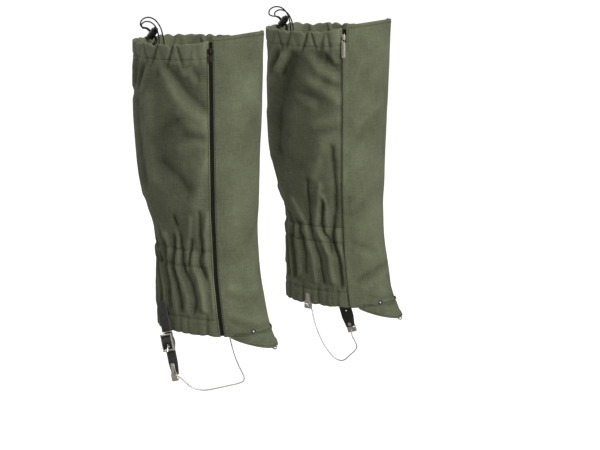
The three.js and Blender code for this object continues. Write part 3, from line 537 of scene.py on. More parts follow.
def sewShinPanel(name, hand):
    def rule(u, v):
        z, out, length = turnedProfile(v, cutting["hem"], cutting["frontTop"], 0, shinCut["turnIn"],
                                       2 * shinCut["foldRadius"])
        low = -seamRun(z) + seamGap(cutting["lateralEdge"], 0, z)
        opened = np.clip((z - 455) / 14, 0, 1)
        cutBack = shinCut["lap"] + cutting["medialEdge"] + cutting["gape"]
        high = seamRun(z) + shinCut["lap"] - opened * cutBack
        run = low + u * (high - low)
        spots, _, fold = shinSkin(run, z, shinCut["skin"] + out, name)
        return standing(spots, hand), np.stack([run, length], -1), fold
    piece = shapedGrid(f"shinPanel_{name}", shinCut["columns"], shinCut["rows"], rule)
    wallInside(piece, hand, shinCut["wall"])
    for corner in (-1, 1):
        punchEyelet(piece, name, corner)
    return piece


eyeletCut = {"angle": 17, "z": 101.6, "hole": 2.5, "through": 14}


# Opens a round hole in the cloth where an eyelet sits.
def punchEyelet(piece, name, corner):
    hand = gaiterSides[name]
    angle, z = np.array([math.radians(eyeletCut["angle"]) * corner]), np.array([eyeletCut["z"]])
    at = standing(legPoint(angle, z), hand)[0] / 1000
    facing = Vector((legNormal(angle, z) * [1, hand, 1])[0])
    deselectAll()
    bpy.ops.mesh.primitive_cylinder_add(vertices=20, radius=eyeletCut["hole"] / 1000,
                                        depth=eyeletCut["through"] / 1000, location=at,
                                        rotation=facing.to_track_quat("Z", "Y").to_euler())
    punch = bpy.context.object
    applyModifier(piece, "BOOLEAN", operation="DIFFERENCE", object=punch, solver="EXACT")
    bpy.data.objects.remove(punch)


def flapLevels(angle):
    high = cutting["hem"] + shinCut["footRise"] * np.cos(angle * 1.6) ** 2 - 0.5
    across = np.clip(np.abs(angle) / math.radians(flapCut["reach"]), 0, 1)
    return high - 1.2 - flapCut["drop"] * (1 - across ** 1.7), high


def flapSkin(angle, share, out):
    low, high = flapLevels(angle)
    z = low + share * (high + flapCut["tuck"] - low)
    normal = legNormal(angle, z)
    out = out - flapCut["under"] * ease((z - high + 1) / 2)
    band = np.clip(1 - (z - low - flapCut["band"]) / 0.6, 0, 1) * np.clip((high - low) / 6, 0, 1)
    fold = 0.5 * drift(np.degrees(angle), z, 21, 0.8) + flapCut["raised"] * band
    return legPoint(angle, z) + normal * (out + fold)[:, None], normal, fold, z


def sewInstepFlap(name, hand):
    def rule(u, v):
        angle = math.radians(flapCut["reach"]) * (2 * u - 1)
        spots, _, fold, z = flapSkin(angle, v, flapCut["skin"])
        return standing(spots, hand), np.stack([np.degrees(angle) * 1.5, z], -1), fold
    piece = shapedGrid(f"instepFlap_{name}", flapCut["columns"], flapCut["rows"], rule)
    wallInside(piece, hand, flapCut["wall"])
    return piece


elasticBands = {"hem_elastic": (97, 112), "ankle_elastic": (190, 206), "depth": 3.1, "wall": 0.7,
                "raised": {"hem_elastic": 1.3, "ankle_elastic": 0}, "columns": 150, "rows": 10, "short": 12}


# A flat elastic that follows every pucker of the cloth over it.
def sewElastic(node, name, hand):
    low, high = elasticBands[node]

    def rule(u, v):
        z = low + v * (high - low)
        full = 2 * (halfRun(z) - seamRun(z))
        fromMedial = elasticBands["short"] + u * (full - 2 * elasticBands["short"])
        depth = calfCut["skin"] - elasticBands["depth"] + elasticBands["raised"][node]
        spots, _, fold = calfSkin(fromMedial, z, depth, hand)
        return standing(spots, hand), np.stack([fromMedial, z], -1), fold
    piece = shapedGrid(f"{node.replace('_elastic', 'Elastic')}_{name}", elasticBands["columns"],
                       elasticBands["rows"], rule)
    wallInside(piece, hand, elasticBands["wall"])
    return piece


threadSet = {
    "pitch": 3.0, "long": 1.1, "wide": 0.55, "high": 0.32, "lift": 0.1, "besideZip": 4.3, "besideLap": 3.3,
    "besideSlit": 6.4, "topRow": 489.4, "flapReach": 39, "flapRows": (2.2, 4.0), "flapEdge": 2.0,
}


# Places and directions every pitch along a line that lies on the cloth.
def alongRow(places, normals, pitch):
    run = np.concatenate([[0], np.cumsum(np.linalg.norm(np.diff(places, axis=0), axis=1))])
    at = np.arange(pitch / 2, run[-1], pitch)
    spots = np.stack([np.interp(at, run, places[:, k]) for k in range(3)], -1)
    ahead = np.stack([np.interp(at + 0.4, run, places[:, k]) for k in range(3)], -1)
    behind = np.stack([np.interp(at - 0.4, run, places[:, k]) for k in range(3)], -1)
    outward = unit(np.stack([np.interp(at, run, normals[:, k]) for k in range(3)], -1))
    along = unit(ahead - behind)
    outward = unit(outward - along * (outward * along).sum(-1, keepdims=True))
    return spots, along, outward


# Copies a small closed shape to every spot, all in one mesh.
def repeated(name, source, rowsOfSpots):
    shape = readOut(source.data.vertices, "co")
    faces = [tuple(face.vertices) for face in source.data.polygons]
    corners, joined = [], []
    for spots, along, outward in rowsOfSpots:
        across = np.cross(outward, along)
        for spot, x, y, z in zip(spots, along, across, outward):
            start = len(corners) * len(shape)
            corners.append(spot + shape[:, :1] * x + shape[:, 1:2] * y + shape[:, 2:] * z)
            joined += [tuple(start + i for i in face) for face in faces]
    made = bpy.data.meshes.new(name)
    made.from_pydata((np.concatenate(corners) / 1000).tolist(), [], joined)
    made.update()
    piece = bpy.data.objects.new(name, made)
    scene.collection.objects.link(piece)
    editWhole(piece, (bpy.ops.mesh.normals_make_consistent, {"inside": False}))
    bpy.ops.object.shade_smooth()
    return piece


def smallBead(radii, segments=6, rings=4):
    deselectAll()
    bpy.ops.mesh.primitive_uv_sphere_add(segments=segments, ring_count=rings, radius=1)
    bead = bpy.context.object
    middle = (0, 0, 0)
    lying = {"value": math.pi / 2, "orient_axis": "Y", "center_override": middle}
    editWhole(bead, (bpy.ops.transform.rotate, lying),
              (bpy.ops.transform.resize, {"value": radii, "center_override": middle}))
    return bead


def seamRows(name, hand):
    found = []

    def keep(places, normals):
        found.append(alongRow(standing(places, hand), normals * [1, hand, 1], threadSet["pitch"]))

    def onCalf(fromMedial, z):
        keep(*calfSkin(fromMedial, z, calfCut["skin"] + threadSet["lift"], hand)[:2])

    def onShin(run, z):
        keep(*shinSkin(run, z, shinCut["skin"] + threadSet["lift"], name)[:2])

    up = np.linspace(98, 478, 700)
    onCalf(2 * (halfRun(up) - seamRun(up)) - threadSet["besideZip"], up)
    onCalf(up * 0 + threadSet["besideLap"], up)
    upFront = np.linspace(99, 490, 700)
    onShin(-seamRun(upFront) + threadSet["besideZip"], upFront)
    slit = np.linspace(456, 490, 80)
    onShin(seamRun(slit) - threadSet["besideSlit"], slit)
    for key in rows:
        level = np.full(900, float(rows[key]))
        full = 2 * (halfRun(level[0]) - seamRun(level[0]))
        sag = calfDrape["rowSag"] * drift(np.linspace(0, full, 900), level * 0, calfDrape["rowSize"], 1.3)
        onCalf(np.linspace(5, full - 6, 900), level + sag)
    run = np.linspace(-1, 1, 500) * (seamRun(490.0) - 6)
    onShin(run, np.full(500, threadSet["topRow"]))
    angle = np.linspace(-1, 1, 300) * math.radians(threadSet["flapReach"])
    shares = np.linspace(0, 1, angleLookup.shape[1])
    atHem = angleLookup[np.abs(levels - cutting["hem"]).argmin()]
    for rise in threadSet["flapRows"]:
        z = np.full(300, cutting["hem"] + rise)
        arcs = np.array([np.interp(abs(a), atHem, shares) for a in angle]) * halfRun(z)
        onShin(np.sign(angle) * arcs, z)
    low, high = flapLevels(angle)
    edge = np.clip(threadSet["flapEdge"] / np.maximum(high - low, 2.2), 0, 0.9)
    keep(*flapSkin(angle, edge, flapCut["skin"] + threadSet["lift"])[:2])
    return found


zipSet = {
    "lateral": {"side": -1, "level": 0.35, "tooth": (0.52, 1.45, 0.95), "pitch": 1.25, "tape": -1.3,
                "material": "zipTape", "slot": "zip_tape"},
    "medial": {"side": 1, "level": -2.3, "tooth": (0.52, 1.15, 0.8), "pitch": 1.5, "tape": -3.0,
               "material": "darkZinc", "slot": "dark_zinc"},
    "offset": 1.12, "edgeCord": (0.7, 2.6, 0.8),
    "low": 96, "high": 487, "closed": 472, "wide": 8.3, "start": -0.25, "tapeWall": 0.5, "bow": 120,
}


def zipPlace(side, ahead, across, z, out):
    seam = seamRun(z) - ahead * across
    angle = angleAt(side, seam, z)
    normal = legNormal(angle, z)
    return legPoint(angle, z) + normal * (out - across ** 2 / zipSet["bow"])[:, None], normal


# Half a zip: a woven tape with a cord-like edge, and its row of teeth.
def makeZipHalf(kind, ahead, name, hand):
    chain = zipSet[kind]
    half = "front" if ahead > 0 else "back"
    thick, at, wide = zipSet["edgeCord"]

    def rule(u, v):
        z = zipSet["low"] + v * (zipSet["high"] - zipSet["low"])
        across = zipSet["start"] + u * (zipSet["wide"] - zipSet["start"])
        bulge = thick * np.exp(-(((across - at) / wide) ** 2))
        spots, _ = zipPlace(chain["side"], ahead, across, z, chain["tape"] + bulge)
        return standing(spots, hand), np.stack([across, z], -1), bulge
    tape = shapedGrid(f"{kind}Zip_{half}_{name}", 12, 150, rule)
    wallInside(tape, hand, zipSet["tapeWall"])
    z = np.linspace(zipSet["low"] + 1, zipSet["closed"], 900)
    places, normals = zipPlace(chain["side"], ahead, np.full(900, zipSet["offset"]), z,
                               np.full(900, chain["level"]))
    spots, along, outward = alongRow(standing(places, hand), normals * [1, hand, 1], chain["pitch"])
    spots = spots + along * (0.5 * chain["pitch"] if ahead > 0 else 0)
    bead = smallBead(chain["tooth"])
    teeth = repeated(f"{kind}Teeth_{half}_{name}", bead, [(spots, along, outward)])
    bpy.data.objects.remove(bead)
    return tape, teeth


drawcordSet = {
    "diameter": 2.0, "sides": 24, "step": 0.7, "braid": 0.055, "lobes": 6, "lay": 3.4,
    "route": [
        (-86.1, 5, 470), (-81.5, 5, 469.6), (-76, 4, 471), (-71.4, 2.3, 474.6), (-70.6, 1.5, 478.4),
        (-72.35, 1.5, 481.65), (-76.9, 1.5, 485.6), (-81.45, 1.5, 489.55), (-87, 1.8, 492.6),
        (-94, 2.3, 493.2),
        (-99, 2.8, 495.4), (-98.6, 3, 500.6), (-93, 3, 505.2), (-84, 2.8, 507), (-74, 2.8, 504),
        (-66, 3.2, 495.5), (-62, 3.8, 484), (-60.4, 4.4, 472), (-60, 3.4, 463), (-60.2, 0, 460),
        (-60.8, -3.6, 463.4), (-61.8, -4.4, 473), (-63.6, -3.6, 485), (-69, -3, 496), (-77.4, -2.8, 501.4),
        (-86.4, -2.8, 501.6), (-93, -2.6, 497.4), (-91.8, -2.2, 492.8), (-86.6, -1.5, 492.4),
        (-81.45, -1.5, 489.55), (-76.9, -1.5, 485.6), (-72.35, -1.5, 481.65), (-70.6, -1.5, 478.4),
        (-71.4, -2.3, 474.6), (-76, -4, 471), (-81.5, -5, 469.6), (-86.1, -5, 470),
    ],
}
stirrupSet = {
    "diameter": 1.8, "sides": 24, "step": 0.9, "braid": 0.12, "strands": 3, "lay": 15, "inner": 93,
    "middle": [
        (6.4, 50.6, 86), (9, 50.4, 76), (13.4, 50, 62), (19, 48.6, 48), (26, 47, 35), (34, 45, 24.4),
        (41.5, 42, 16.8), (46, 35, 12.8), (45.6, 24, 11.6), (41.5, 10, 11.4), (36.6, -6, 11.4),
        (32, -22, 11.6),
        (28.4, -34, 12.8), (23.6, -42, 15.4), (16.4, -48, 20), (10.6, -50.4, 25.6),
    ],
    "overrun": 4.7, "lead": 3, "outerLead": 4.4, "outerShort": 1.8, "ball": 2.7,
}


# A smooth line through points: each span bends towards its neighbours.
def smoothLine(points, step):
    p = np.array(points, float)
    p = np.vstack([2 * p[0] - p[1], p, 2 * p[-1] - p[-2]])
    found = []
    for i in range(1, len(p) - 2):
        k = np.concatenate([[0], np.cumsum(np.linalg.norm(np.diff(p[i - 1:i + 3], axis=0), axis=1) ** 0.5)])
        t = np.linspace(k[1], k[2], 24, endpoint=False)[:, None]
        a1 = (k[1] - t) / (k[1] - k[0]) * p[i - 1] + (t - k[0]) / (k[1] - k[0]) * p[i]
        a2 = (k[2] - t) / (k[2] - k[1]) * p[i] + (t - k[1]) / (k[2] - k[1]) * p[i + 1]
        a3 = (k[3] - t) / (k[3] - k[2]) * p[i + 1] + (t - k[2]) / (k[3] - k[2]) * p[i + 2]
        b1 = (k[2] - t) / (k[2] - k[0]) * a1 + (t - k[0]) / (k[2] - k[0]) * a2
        b2 = (k[3] - t) / (k[3] - k[1]) * a2 + (t - k[1]) / (k[3] - k[1]) * a3
        found.append((k[2] - t) / (k[2] - k[1]) * b1 + (t - k[1]) / (k[2] - k[1]) * b2)
    line = np.vstack(found + [p[-2:-1]])
    run = np.concatenate([[0], np.cumsum(np.linalg.norm(np.diff(line, axis=0), axis=1))])
    at = np.linspace(0, run[-1], max(2, int(run[-1] / step)) + 1)
    return np.stack([np.interp(at, run, line[:, k]) for k in range(3)], -1), run[-1]


# Side directions carried along a line without twisting.
def carriedSides(line):
    along = unit(np.gradient(line, axis=0))
    first = np.cross(along[0], [0.2, 0.3, 1])
    sides = [unit(first)]
    for direction in along[1:]:
        side = sides[-1] - direction * (sides[-1] @ direction)
        sides.append(unit(side))
    sides = np.array(sides)
    return sides, np.cross(along, sides)


# A tube whose radius follows a rule of the turn round it and the run along it.
def tubeAlong(name, line, length, sides, radiusAt):
    first, second = carriedSides(line)
    rings = len(line) - 1

    def rule(u, v):
        i = np.rint(v * rings).astype(int)
        turn = u * 2 * math.pi
        run = v * length
        radius = radiusAt(turn, run)
        spread = (first[i] * (np.cos(turn) * radius)[:, None]
                  + second[i] * (np.sin(turn) * radius)[:, None])
        return line[i] + spread, np.stack([u * 2 * math.pi * radius.mean(), run], -1), radius * 0
    piece = shapedGrid(name, sides, rings, rule, closed=True)
    smoothOff(piece, 60)
    return piece


# The middle of a node's box, in the right leg's own millimetres.
def boxMiddle(node, hand):
    low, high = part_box(f"{node}_{'right' if hand > 0 else 'left'}")
    middle = (np.array(low) + np.array(high)) * 500
    return (middle - standing(np.zeros(3), hand)) * [1, hand, 1]


def stirrupRoute(hand):
    inner = boxMiddle("wire_clip", hand)
    inner[2] = stirrupSet["inner"]
    outer = clampSpot(hand)
    along = unit(outer - inner)
    middle = [np.array(p, float) for p in stirrupSet["middle"]]
    return ([inner - along * stirrupSet["overrun"], inner, inner + along * stirrupSet["lead"]] + middle
            + [outer - along * stirrupSet["outerLead"], outer - along * stirrupSet["outerShort"]])


# Where the wire's outer end sits behind the clamp, from the strap's own lean and turn.
strapSeat = {"lean": 17, "turn": 13, "wireEnd": -49, "clampMiddle": -41}


def clampSpot(hand):
    turn, lean = math.radians(strapSeat["turn"]), math.radians(strapSeat["lean"])
    out = np.array([-math.sin(turn), -math.cos(turn), 0])
    level = np.cross([0, 0, 1], out)
    up = np.array([0, 0, 1]) * math.cos(lean) - level * math.sin(lean)
    return boxMiddle("wire_clamp", hand) + up * (strapSeat["wireEnd"] - strapSeat["clampMiddle"])


def makeDrawcord(name, hand):
    local, length = smoothLine(drawcordSet["route"], drawcordSet["step"])
    line = standing(local, hand)
    radius = drawcordSet["diameter"] / 2

    def radiusAt(turn, run):
        around, onward = drawcordSet["lobes"] * turn / 2, 2 * math.pi * run / drawcordSet["lay"]
        return radius * (1 - drawcordSet["braid"] * (1 + np.sin(around + onward) * np.sin(around - onward)))
    piece = tubeAlong(f"rimCord_{name}", line, length, drawcordSet["sides"], radiusAt)
    return piece, line / 1000, length / 1000


def makeStirrup(name, hand):
    local, length = smoothLine(stirrupRoute(hand), stirrupSet["step"])
    line = standing(local, hand)
    radius = stirrupSet["diameter"] / 2

    def radiusAt(turn, run):
        around = stirrupSet["strands"] * turn
        onward = math.pi * stirrupSet["strands"] * run / stirrupSet["lay"]
        return radius * (1 - stirrupSet["braid"] * (1 - np.abs(np.cos(around + onward))))
    wire = tubeAlong(f"stirrupWire_{name}", line, length, stirrupSet["sides"], radiusAt)
    deselectAll()
    bpy.ops.mesh.primitive_uv_sphere_add(segments=24, ring_count=14, radius=stirrupSet["ball"] / 1000)
    ball = bpy.context.object
    ball.name = ball.data.name = f"stirrupBall_{name}"
    ball.data.transform(Matrix.Translation(line[0] / 1000))
    bpy.ops.object.shade_smooth()
    return wire, ball, line / 1000, length / 1000


# Each hardware piece: the body it rides on, its material, its slot, and how much its edges are rounded.
hardware = {
    "lateral_zip_slider": ("lateral_slider", "darkZinc", "dark_zinc", 0.22),
    "lateral_zip_pull": ("lateral_pull", "darkZinc", "dark_zinc", 0.25),
    "medial_zip_slider": ("medial_slider", "nickel", "nickel", 0.2),
    "medial_zip_pull": ("medial_pull", "nickel", "nickel", 0.3),
    "cord_lock_barrel": ("cord_lock", "blackPlastic", "black_plastic", 0.5),
    "cord_lock_plunger": ("lock_button", "blackPlastic", "black_plastic", 0.4),
    "buckle_tab": ("gaiter", "strapLeather", "leather", 0.3),
    "buckle_loop": ("strap", "strapLeather", "leather", 0.3),
    "buckle_frame": ("strap", "nickel", "nickel", 0.25),
    "buckle_prong": ("prong", "nickel", "nickel", 0.15),
    "strap_lower": ("strap", "strapLeather", "leather", 0.4),
    "strap_tail": ("strap_end", "strapLeather", "leather", 0.4),
    "wire_clamp": ("clamp", "nickel", "nickel", 0.3),
    "clamp_rivet": ("clamp", "nickel", "nickel", 0.3),
    "wire_clip": ("clip", "nickel", "nickel", 0.3),
    "clip_rivet": ("gaiter", "nickel", "nickel", 0.25),
    "eyelet_lateral": ("gaiter", "darkZinc", "dark_zinc", 0.1),
    "eyelet_medial": ("gaiter", "darkZinc", "dark_zinc", 0.1),
    "lace_hook": ("gaiter", "nickel", "nickel", 0.15),
}


def camelName(node):
    first, *rest = node.split("_")
    return first + "".join(word.title() for word in rest)


# A finished copy of a CAD part: its triangles merged, its edges rounded, its curves smooth.
def finishedCopy(node, name):
    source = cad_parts[f"{node}_{name}"]
    piece = bpy.data.objects.new(f"{camelName(node)}_{name}", source.data.copy())
    scene.collection.objects.link(piece)
    piece.data.name = piece.name
    piece.data.materials.clear()
    editWhole(piece, (bpy.ops.mesh.remove_doubles, {"threshold": 1e-5}),
              (bpy.ops.mesh.dissolve_limited, {"angle_limit": math.radians(1.5)}),
              (bpy.ops.mesh.normals_make_consistent, {"inside": False}))
    applyModifier(piece, "BEVEL", width=hardware[node][3] / 1000, segments=3, limit_method="ANGLE",
                  angle_limit=math.radians(40), use_clamp_overlap=True)
    smoothOff(piece, 38)
    return piece


def centreAndAxes(piece):
    spots = readOut(piece.data.vertices, "co") * 1000
    centre = (spots.max(0) + spots.min(0)) / 2
    _, axes = np.linalg.eigh(np.cov((spots - centre).T))
    return centre, axes[:, ::-1].T


pullGrip = {"ribs": 11, "from": -8.5, "to": 12.8, "wide": 2.9, "thick": 1.55, "deep": 0.3}


# The ribbed metal grip on the medial zip's long pull.
def makePullGrip(name, pull):
    centre, (long, wide, thick) = centreAndAxes(pull)
    long = long if long[2] < 0 else -long
    steps = 96
    line = centre + long * np.linspace(pullGrip["from"], pullGrip["to"], steps)[:, None]
    length = pullGrip["to"] - pullGrip["from"]

    def radiusAt(turn, run):
        share = run / length
        rib = np.abs(np.sin(math.pi * pullGrip["ribs"] * share)) ** 0.6
        end = np.sqrt(np.clip(1 - np.abs(2 * share - 1) ** 9, 0.05, 1))
        return (1 - pullGrip["deep"] * (1 - rib)) * end
    piece = tubeAlong(f"pullGrip_{name}", line, length, 20, radiusAt)
    offset = readOut(piece.data.vertices, "co") * 1000 - centre
    spots = centre + (offset @ long)[:, None] * long
    spots += ((offset @ wide) * pullGrip["wide"])[:, None] * wide
    spots += ((offset @ thick) * pullGrip["thick"])[:, None] * thick
    piece.data.vertices.foreach_set("co", (spots / 1000).ravel())
    piece.data.update()
    return piece


def addNode(tree, kind, settings=None, inputs=None):
    node = tree.nodes.new("ShaderNode" + kind)
    for key, value in (settings or {}).items():
        setattr(node, key, value)
    for key, value in (inputs or {}).items():
        if isinstance(value, bpy.types.NodeSocket):
            tree.links.new(value, node.inputs[key])
        else:
            node.inputs[key].default_value = value
    return node


def arithmetic(tree, operation, *values):
    return addNode(tree, "Math", {"operation": operation}, dict(enumerate(values))).outputs[0]


def blended(tree, factor, first, second, way="MIX"):
    node = addNode(tree, "Mix", {"data_type": "RGBA", "blend_type": way}, {0: factor, 6: first, 7: second})
    return node.outputs[2]


def newGroup(name, inputs, outputs):
    group = bpy.data.node_groups.new(name, "ShaderNodeTree")
    for label, kind, value in inputs:
        made = group.interface.new_socket(label, in_out="INPUT", socket_type=kind)
        if value is not None:
            made.default_value = value
    for label, kind in outputs:
        group.interface.new_socket(label, in_out="OUTPUT", socket_type=kind)
    return group, group.nodes.new("NodeGroupInput").outputs, group.nodes.new("NodeGroupOutput").inputs


# Plain weave: threads over and under each other, with thicker slubs along both ways.
def weaveGroup():
    group, given, wanted = newGroup(
        "plainWeave",
        [("Coordinates", "NodeSocketVector", None), ("Threads", "NodeSocketFloat", 1800.0),
         ("Slub", "NodeSocketFloat", 0.5)],
        [("Height", "NodeSocketFloat"), ("Tint", "NodeSocketFloat")])
    split = addNode(group, "SeparateXYZ", None, {0: given["Coordinates"]}).outputs
    turnX = arithmetic(group, "MULTIPLY", split[0], given["Threads"])
    turnY = arithmetic(group, "MULTIPLY", split[1], given["Threads"])
    waveX = arithmetic(group, "SINE", arithmetic(group, "MULTIPLY", turnX, 6.2832))
    waveY = arithmetic(group, "SINE", arithmetic(group, "MULTIPLY", turnY, 6.2832))
    crossing = arithmetic(group, "MULTIPLY", waveX, waveY)
    streaks = []
    for stretch in ((900.0, 50.0, 1.0), (50.0, 900.0, 1.0)):
        moved = addNode(group, "Mapping", None, {0: given["Coordinates"], "Scale": stretch}).outputs[0]
        streak = addNode(group, "TexNoise", None, {"Vector": moved, "Scale": 1.0, "Detail": 2.0})
        streaks.append(streak.outputs[0])
    slub = arithmetic(group, "SUBTRACT", arithmetic(group, "ADD", *streaks), 1.0)
    slub = arithmetic(group, "MULTIPLY", slub, given["Slub"])
    height = arithmetic(group, "ADD", arithmetic(group, "MULTIPLY_ADD", crossing, 0.3, 0.5), slub)
    group.links.new(height, wanted["Height"])
    middle = arithmetic(group, "ADD", slub, 0.5)
    group.links.new(arithmetic(group, "MULTIPLY_ADD", crossing, 0.12, middle), wanted["Tint"])
    return group


# Slow and fine unevenness of colour and gloss, from handling and light.
def unevenGroup():
    group, given, wanted = newGroup(
        "unevenFinish",
        [("Coordinates", "NodeSocketVector", None), ("Patch", "NodeSocketFloat", 18.0),
         ("Grit", "NodeSocketFloat", 900.0)],
        [("Slow", "NodeSocketFloat"), ("Fine", "NodeSocketFloat")])
    for label, size, detail in (("Slow", "Patch", 3.0), ("Fine", "Grit", 4.0)):
        noise = addNode(group, "TexNoise", None,
                        {"Vector": given["Coordinates"], "Scale": given[size], "Detail": detail})
        group.links.new(noise.outputs[0], wanted[label])
    return group


# Pebbled grain with pores, for leather and moulded plastic.
def grainGroup():
    group, given, wanted = newGroup(
        "pebbleGrain",
        [("Coordinates", "NodeSocketVector", None), ("Size", "NodeSocketFloat", 1100.0)],
        [("Height", "NodeSocketFloat"), ("Pores", "NodeSocketFloat")])
    spread = {"Vector": given["Coordinates"], "Scale": given["Size"]}
    cells = addNode(group, "TexVoronoi", {"feature": "F1"}, spread)
    pores = addNode(group, "TexNoise", None, {**spread, "Detail": 3.0})
    height = arithmetic(group, "MULTIPLY_ADD", cells.outputs[0], -0.8, pores.outputs[0])
    group.links.new(height, wanted["Height"])
    group.links.new(pores.outputs[0], wanted["Pores"])
    return group


# Where edges and raised points are rubbed brighter.
def wearGroup():
    group, given, wanted = newGroup(
        "edgeWear",
        [("Coordinates", "NodeSocketVector", None), ("Sharpness", "NodeSocketFloat", 9.0)],
        [("Mask", "NodeSocketFloat")])
    point = addNode(group, "NewGeometry").outputs["Pointiness"]
    rough = addNode(group, "TexNoise", None,
                    {"Vector": given["Coordinates"], "Scale": 260.0, "Detail": 4.0}).outputs[0]
    lifted = arithmetic(group, "MULTIPLY", arithmetic(group, "SUBTRACT", point, 0.51), given["Sharpness"])
    mask = addNode(group, "Clamp", None, {0: arithmetic(group, "MULTIPLY", lifted, rough)}).outputs[0]
    group.links.new(mask, wanted["Mask"])
    return group


groups = {"weave": weaveGroup(), "uneven": unevenGroup(), "grain": grainGroup(), "wear": wearGroup()}


def useGroup(tree, key, inputs):
    node = addNode(tree, "Group", {"node_tree": groups[key]})
    for label, value in inputs.items():
        if isinstance(value, bpy.types.NodeSocket):
            tree.links.new(value, node.inputs[label])
        else:
            node.inputs[label].default_value = value
    return node.outputs


def newMaterial(name, constants):
    material = bpy.data.materials.new(name)
    material.use_nodes = True
    tree = material.node_tree
    shader = next(node for node in tree.nodes if node.type == "BSDF_PRINCIPLED")
    for label, value in constants.items():
        shader.inputs[label].default_value = value
    return material, tree, shader


def colour(r, g, b):
    return tuple(((c / 255 + 0.055) / 1.055) ** 2.4 if c > 10 else c / 3294.6 for c in (r, g, b)) + (1.0,)


clothLooks = {
    "shinCloth": {"dark": (69, 73, 54), "light": (121, 126, 101), "threads": 1500, "rough": 0.86,
                  "bump": 0.00022},
    # The calf cloth's darker dark tone is partly painted shade, for the back panel that faces away from the
    # light.
    "calfCloth": {"dark": (61, 64, 48), "light": (119, 123, 98), "threads": 1500, "rough": 0.88,
                  "bump": 0.00022},
    "elasticCloth": {"dark": (44, 45, 40), "light": (66, 67, 60), "threads": 900, "rough": 0.92,
                     "bump": 0.0003},
    "zipTape": {"dark": (24, 25, 19), "light": (44, 46, 35), "threads": 1300, "rough": 0.85, "bump": 0.0002},
    "cordBraid": {"dark": (20, 20, 19), "light": (46, 46, 44), "threads": 700, "rough": 0.75, "bump": 0.0002},
}


clothShine = {"Sheen Weight": 0.05, "Sheen Roughness": 0.5, "Specular IOR Level": 0.16}


def addBump(tree, shader, strength, distance, height):
    bump = addNode(tree, "Bump", None, {"Strength": strength, "Distance": distance, "Height": height})
    tree.links.new(bump.outputs[0], shader.inputs["Normal"])


def clothMaterial(name):
    look = clothLooks[name]
    material, tree, shader = newMaterial(name, clothShine)
    spots = addNode(tree, "TexCoord").outputs
    threads = float(look["threads"])
    weave = useGroup(tree, "weave", {"Coordinates": spots["UV"], "Threads": threads, "Slub": 0.55})
    uneven = useGroup(tree, "uneven", {"Coordinates": spots["Object"], "Patch": 21.0, "Grit": 520.0})
    # Painted shade and highlight: the fold attribute darkens the cloth in its valleys and stitch grooves and
    # lightens it on its ridges, along with any painted highlight added to it.
    raised = addNode(tree, "Attribute", {"attribute_name": "foldHeight"}).outputs["Fac"]
    raised = addNode(tree, "Clamp", None, {0: arithmetic(tree, "MULTIPLY_ADD", raised, 0.13, 0.5)}).outputs[0]
    slow = arithmetic(tree, "MULTIPLY", uneven["Slow"], 0.8)
    tint = arithmetic(tree, "MULTIPLY_ADD", weave["Tint"], 0.9, slow)
    tint = arithmetic(tree, "ADD", tint, arithmetic(tree, "MULTIPLY_ADD", raised, 0.7, -0.75))
    tint = arithmetic(tree, "ADD", tint, arithmetic(tree, "MULTIPLY_ADD", uneven["Fine"], 0.6, -0.3))
    tint = addNode(tree, "Clamp", None, {0: tint}).outputs[0]
    base = blended(tree, tint, colour(*look["dark"]), colour(*look["light"]))
    tree.links.new(base, shader.inputs["Base Color"])
    rough = arithmetic(tree, "MULTIPLY_ADD", uneven["Fine"], 0.12, look["rough"] - 0.06)
    tree.links.new(rough, shader.inputs["Roughness"])
    addBump(tree, shader, 0.7, look["bump"], weave["Height"])
    return material


threadLook = {"dark": (20, 23, 16), "light": (42, 45, 33)}


def threadMaterial():
    material, tree, shader = newMaterial("seamThread", {"Sheen Weight": 0.1, "Specular IOR Level": 0.35})
    spots = addNode(tree, "TexCoord").outputs["Object"]
    uneven = useGroup(tree, "uneven", {"Coordinates": spots, "Patch": 60.0, "Grit": 2600.0})
    base = blended(tree, uneven["Fine"], colour(*threadLook["dark"]), colour(*threadLook["light"]))
    tree.links.new(base, shader.inputs["Base Color"])
    tree.links.new(arithmetic(tree, "MULTIPLY_ADD", uneven["Slow"], 0.2, 0.6), shader.inputs["Roughness"])
    addBump(tree, shader, 0.5, 0.0001, uneven["Fine"])
    return material


metalLooks = {
    "nickel": {"dull": (172, 166, 150), "bright": (228, 224, 212), "rough": 0.27, "metal": 1.0},
    "pullMetal": {"dull": (84, 72, 55), "bright": (198, 188, 164), "rough": 0.4, "metal": 0.85},
    "steelWire": {"dull": (170, 170, 166), "bright": (222, 222, 218), "rough": 0.42, "metal": 0.8},
    "darkZinc": {"dull": (24, 24, 21), "bright": (64, 62, 55), "rough": 0.46, "metal": 0.7},
}


def metalMaterial(name):
    look = metalLooks[name]
    material, tree, shader = newMaterial(name, {"Metallic": look["metal"]})
    spots = addNode(tree, "TexCoord").outputs["Object"]
    uneven = useGroup(tree, "uneven", {"Coordinates": spots, "Patch": 160.0, "Grit": 1900.0})
    wear = useGroup(tree, "wear", {"Coordinates": spots, "Sharpness": 14.0})
    base = blended(tree, uneven["Slow"], colour(*look["dull"]), colour(*look["bright"]))
    base = blended(tree, wear["Mask"], base, colour(*look["bright"]))
    tree.links.new(base, shader.inputs["Base Color"])
    rough = arithmetic(tree, "MULTIPLY_ADD", uneven["Fine"], 0.28, look["rough"] - 0.1)
    tree.links.new(rough, shader.inputs["Roughness"])
    brushed = addNode(tree, "Mapping", None, {0: spots, "Scale": (1.0, 1.0, 7.0)}).outputs[0]
    fine = addNode(tree, "TexNoise", None, {"Vector": brushed, "Scale": 700.0, "Detail": 3.0}).outputs[0]
    addBump(tree, shader, 0.25, 0.00006, fine)
    return material


grainLooks = {
    "strapLeather": {"dark": (32, 32, 30), "light": (60, 60, 56), "size": 1300.0, "rough": 0.7,
                     "bump": 0.00016},
    "blackPlastic": {"dark": (19, 19, 19), "light": (40, 40, 39), "size": 3200.0, "rough": 0.42,
                     "bump": 0.00005},
}


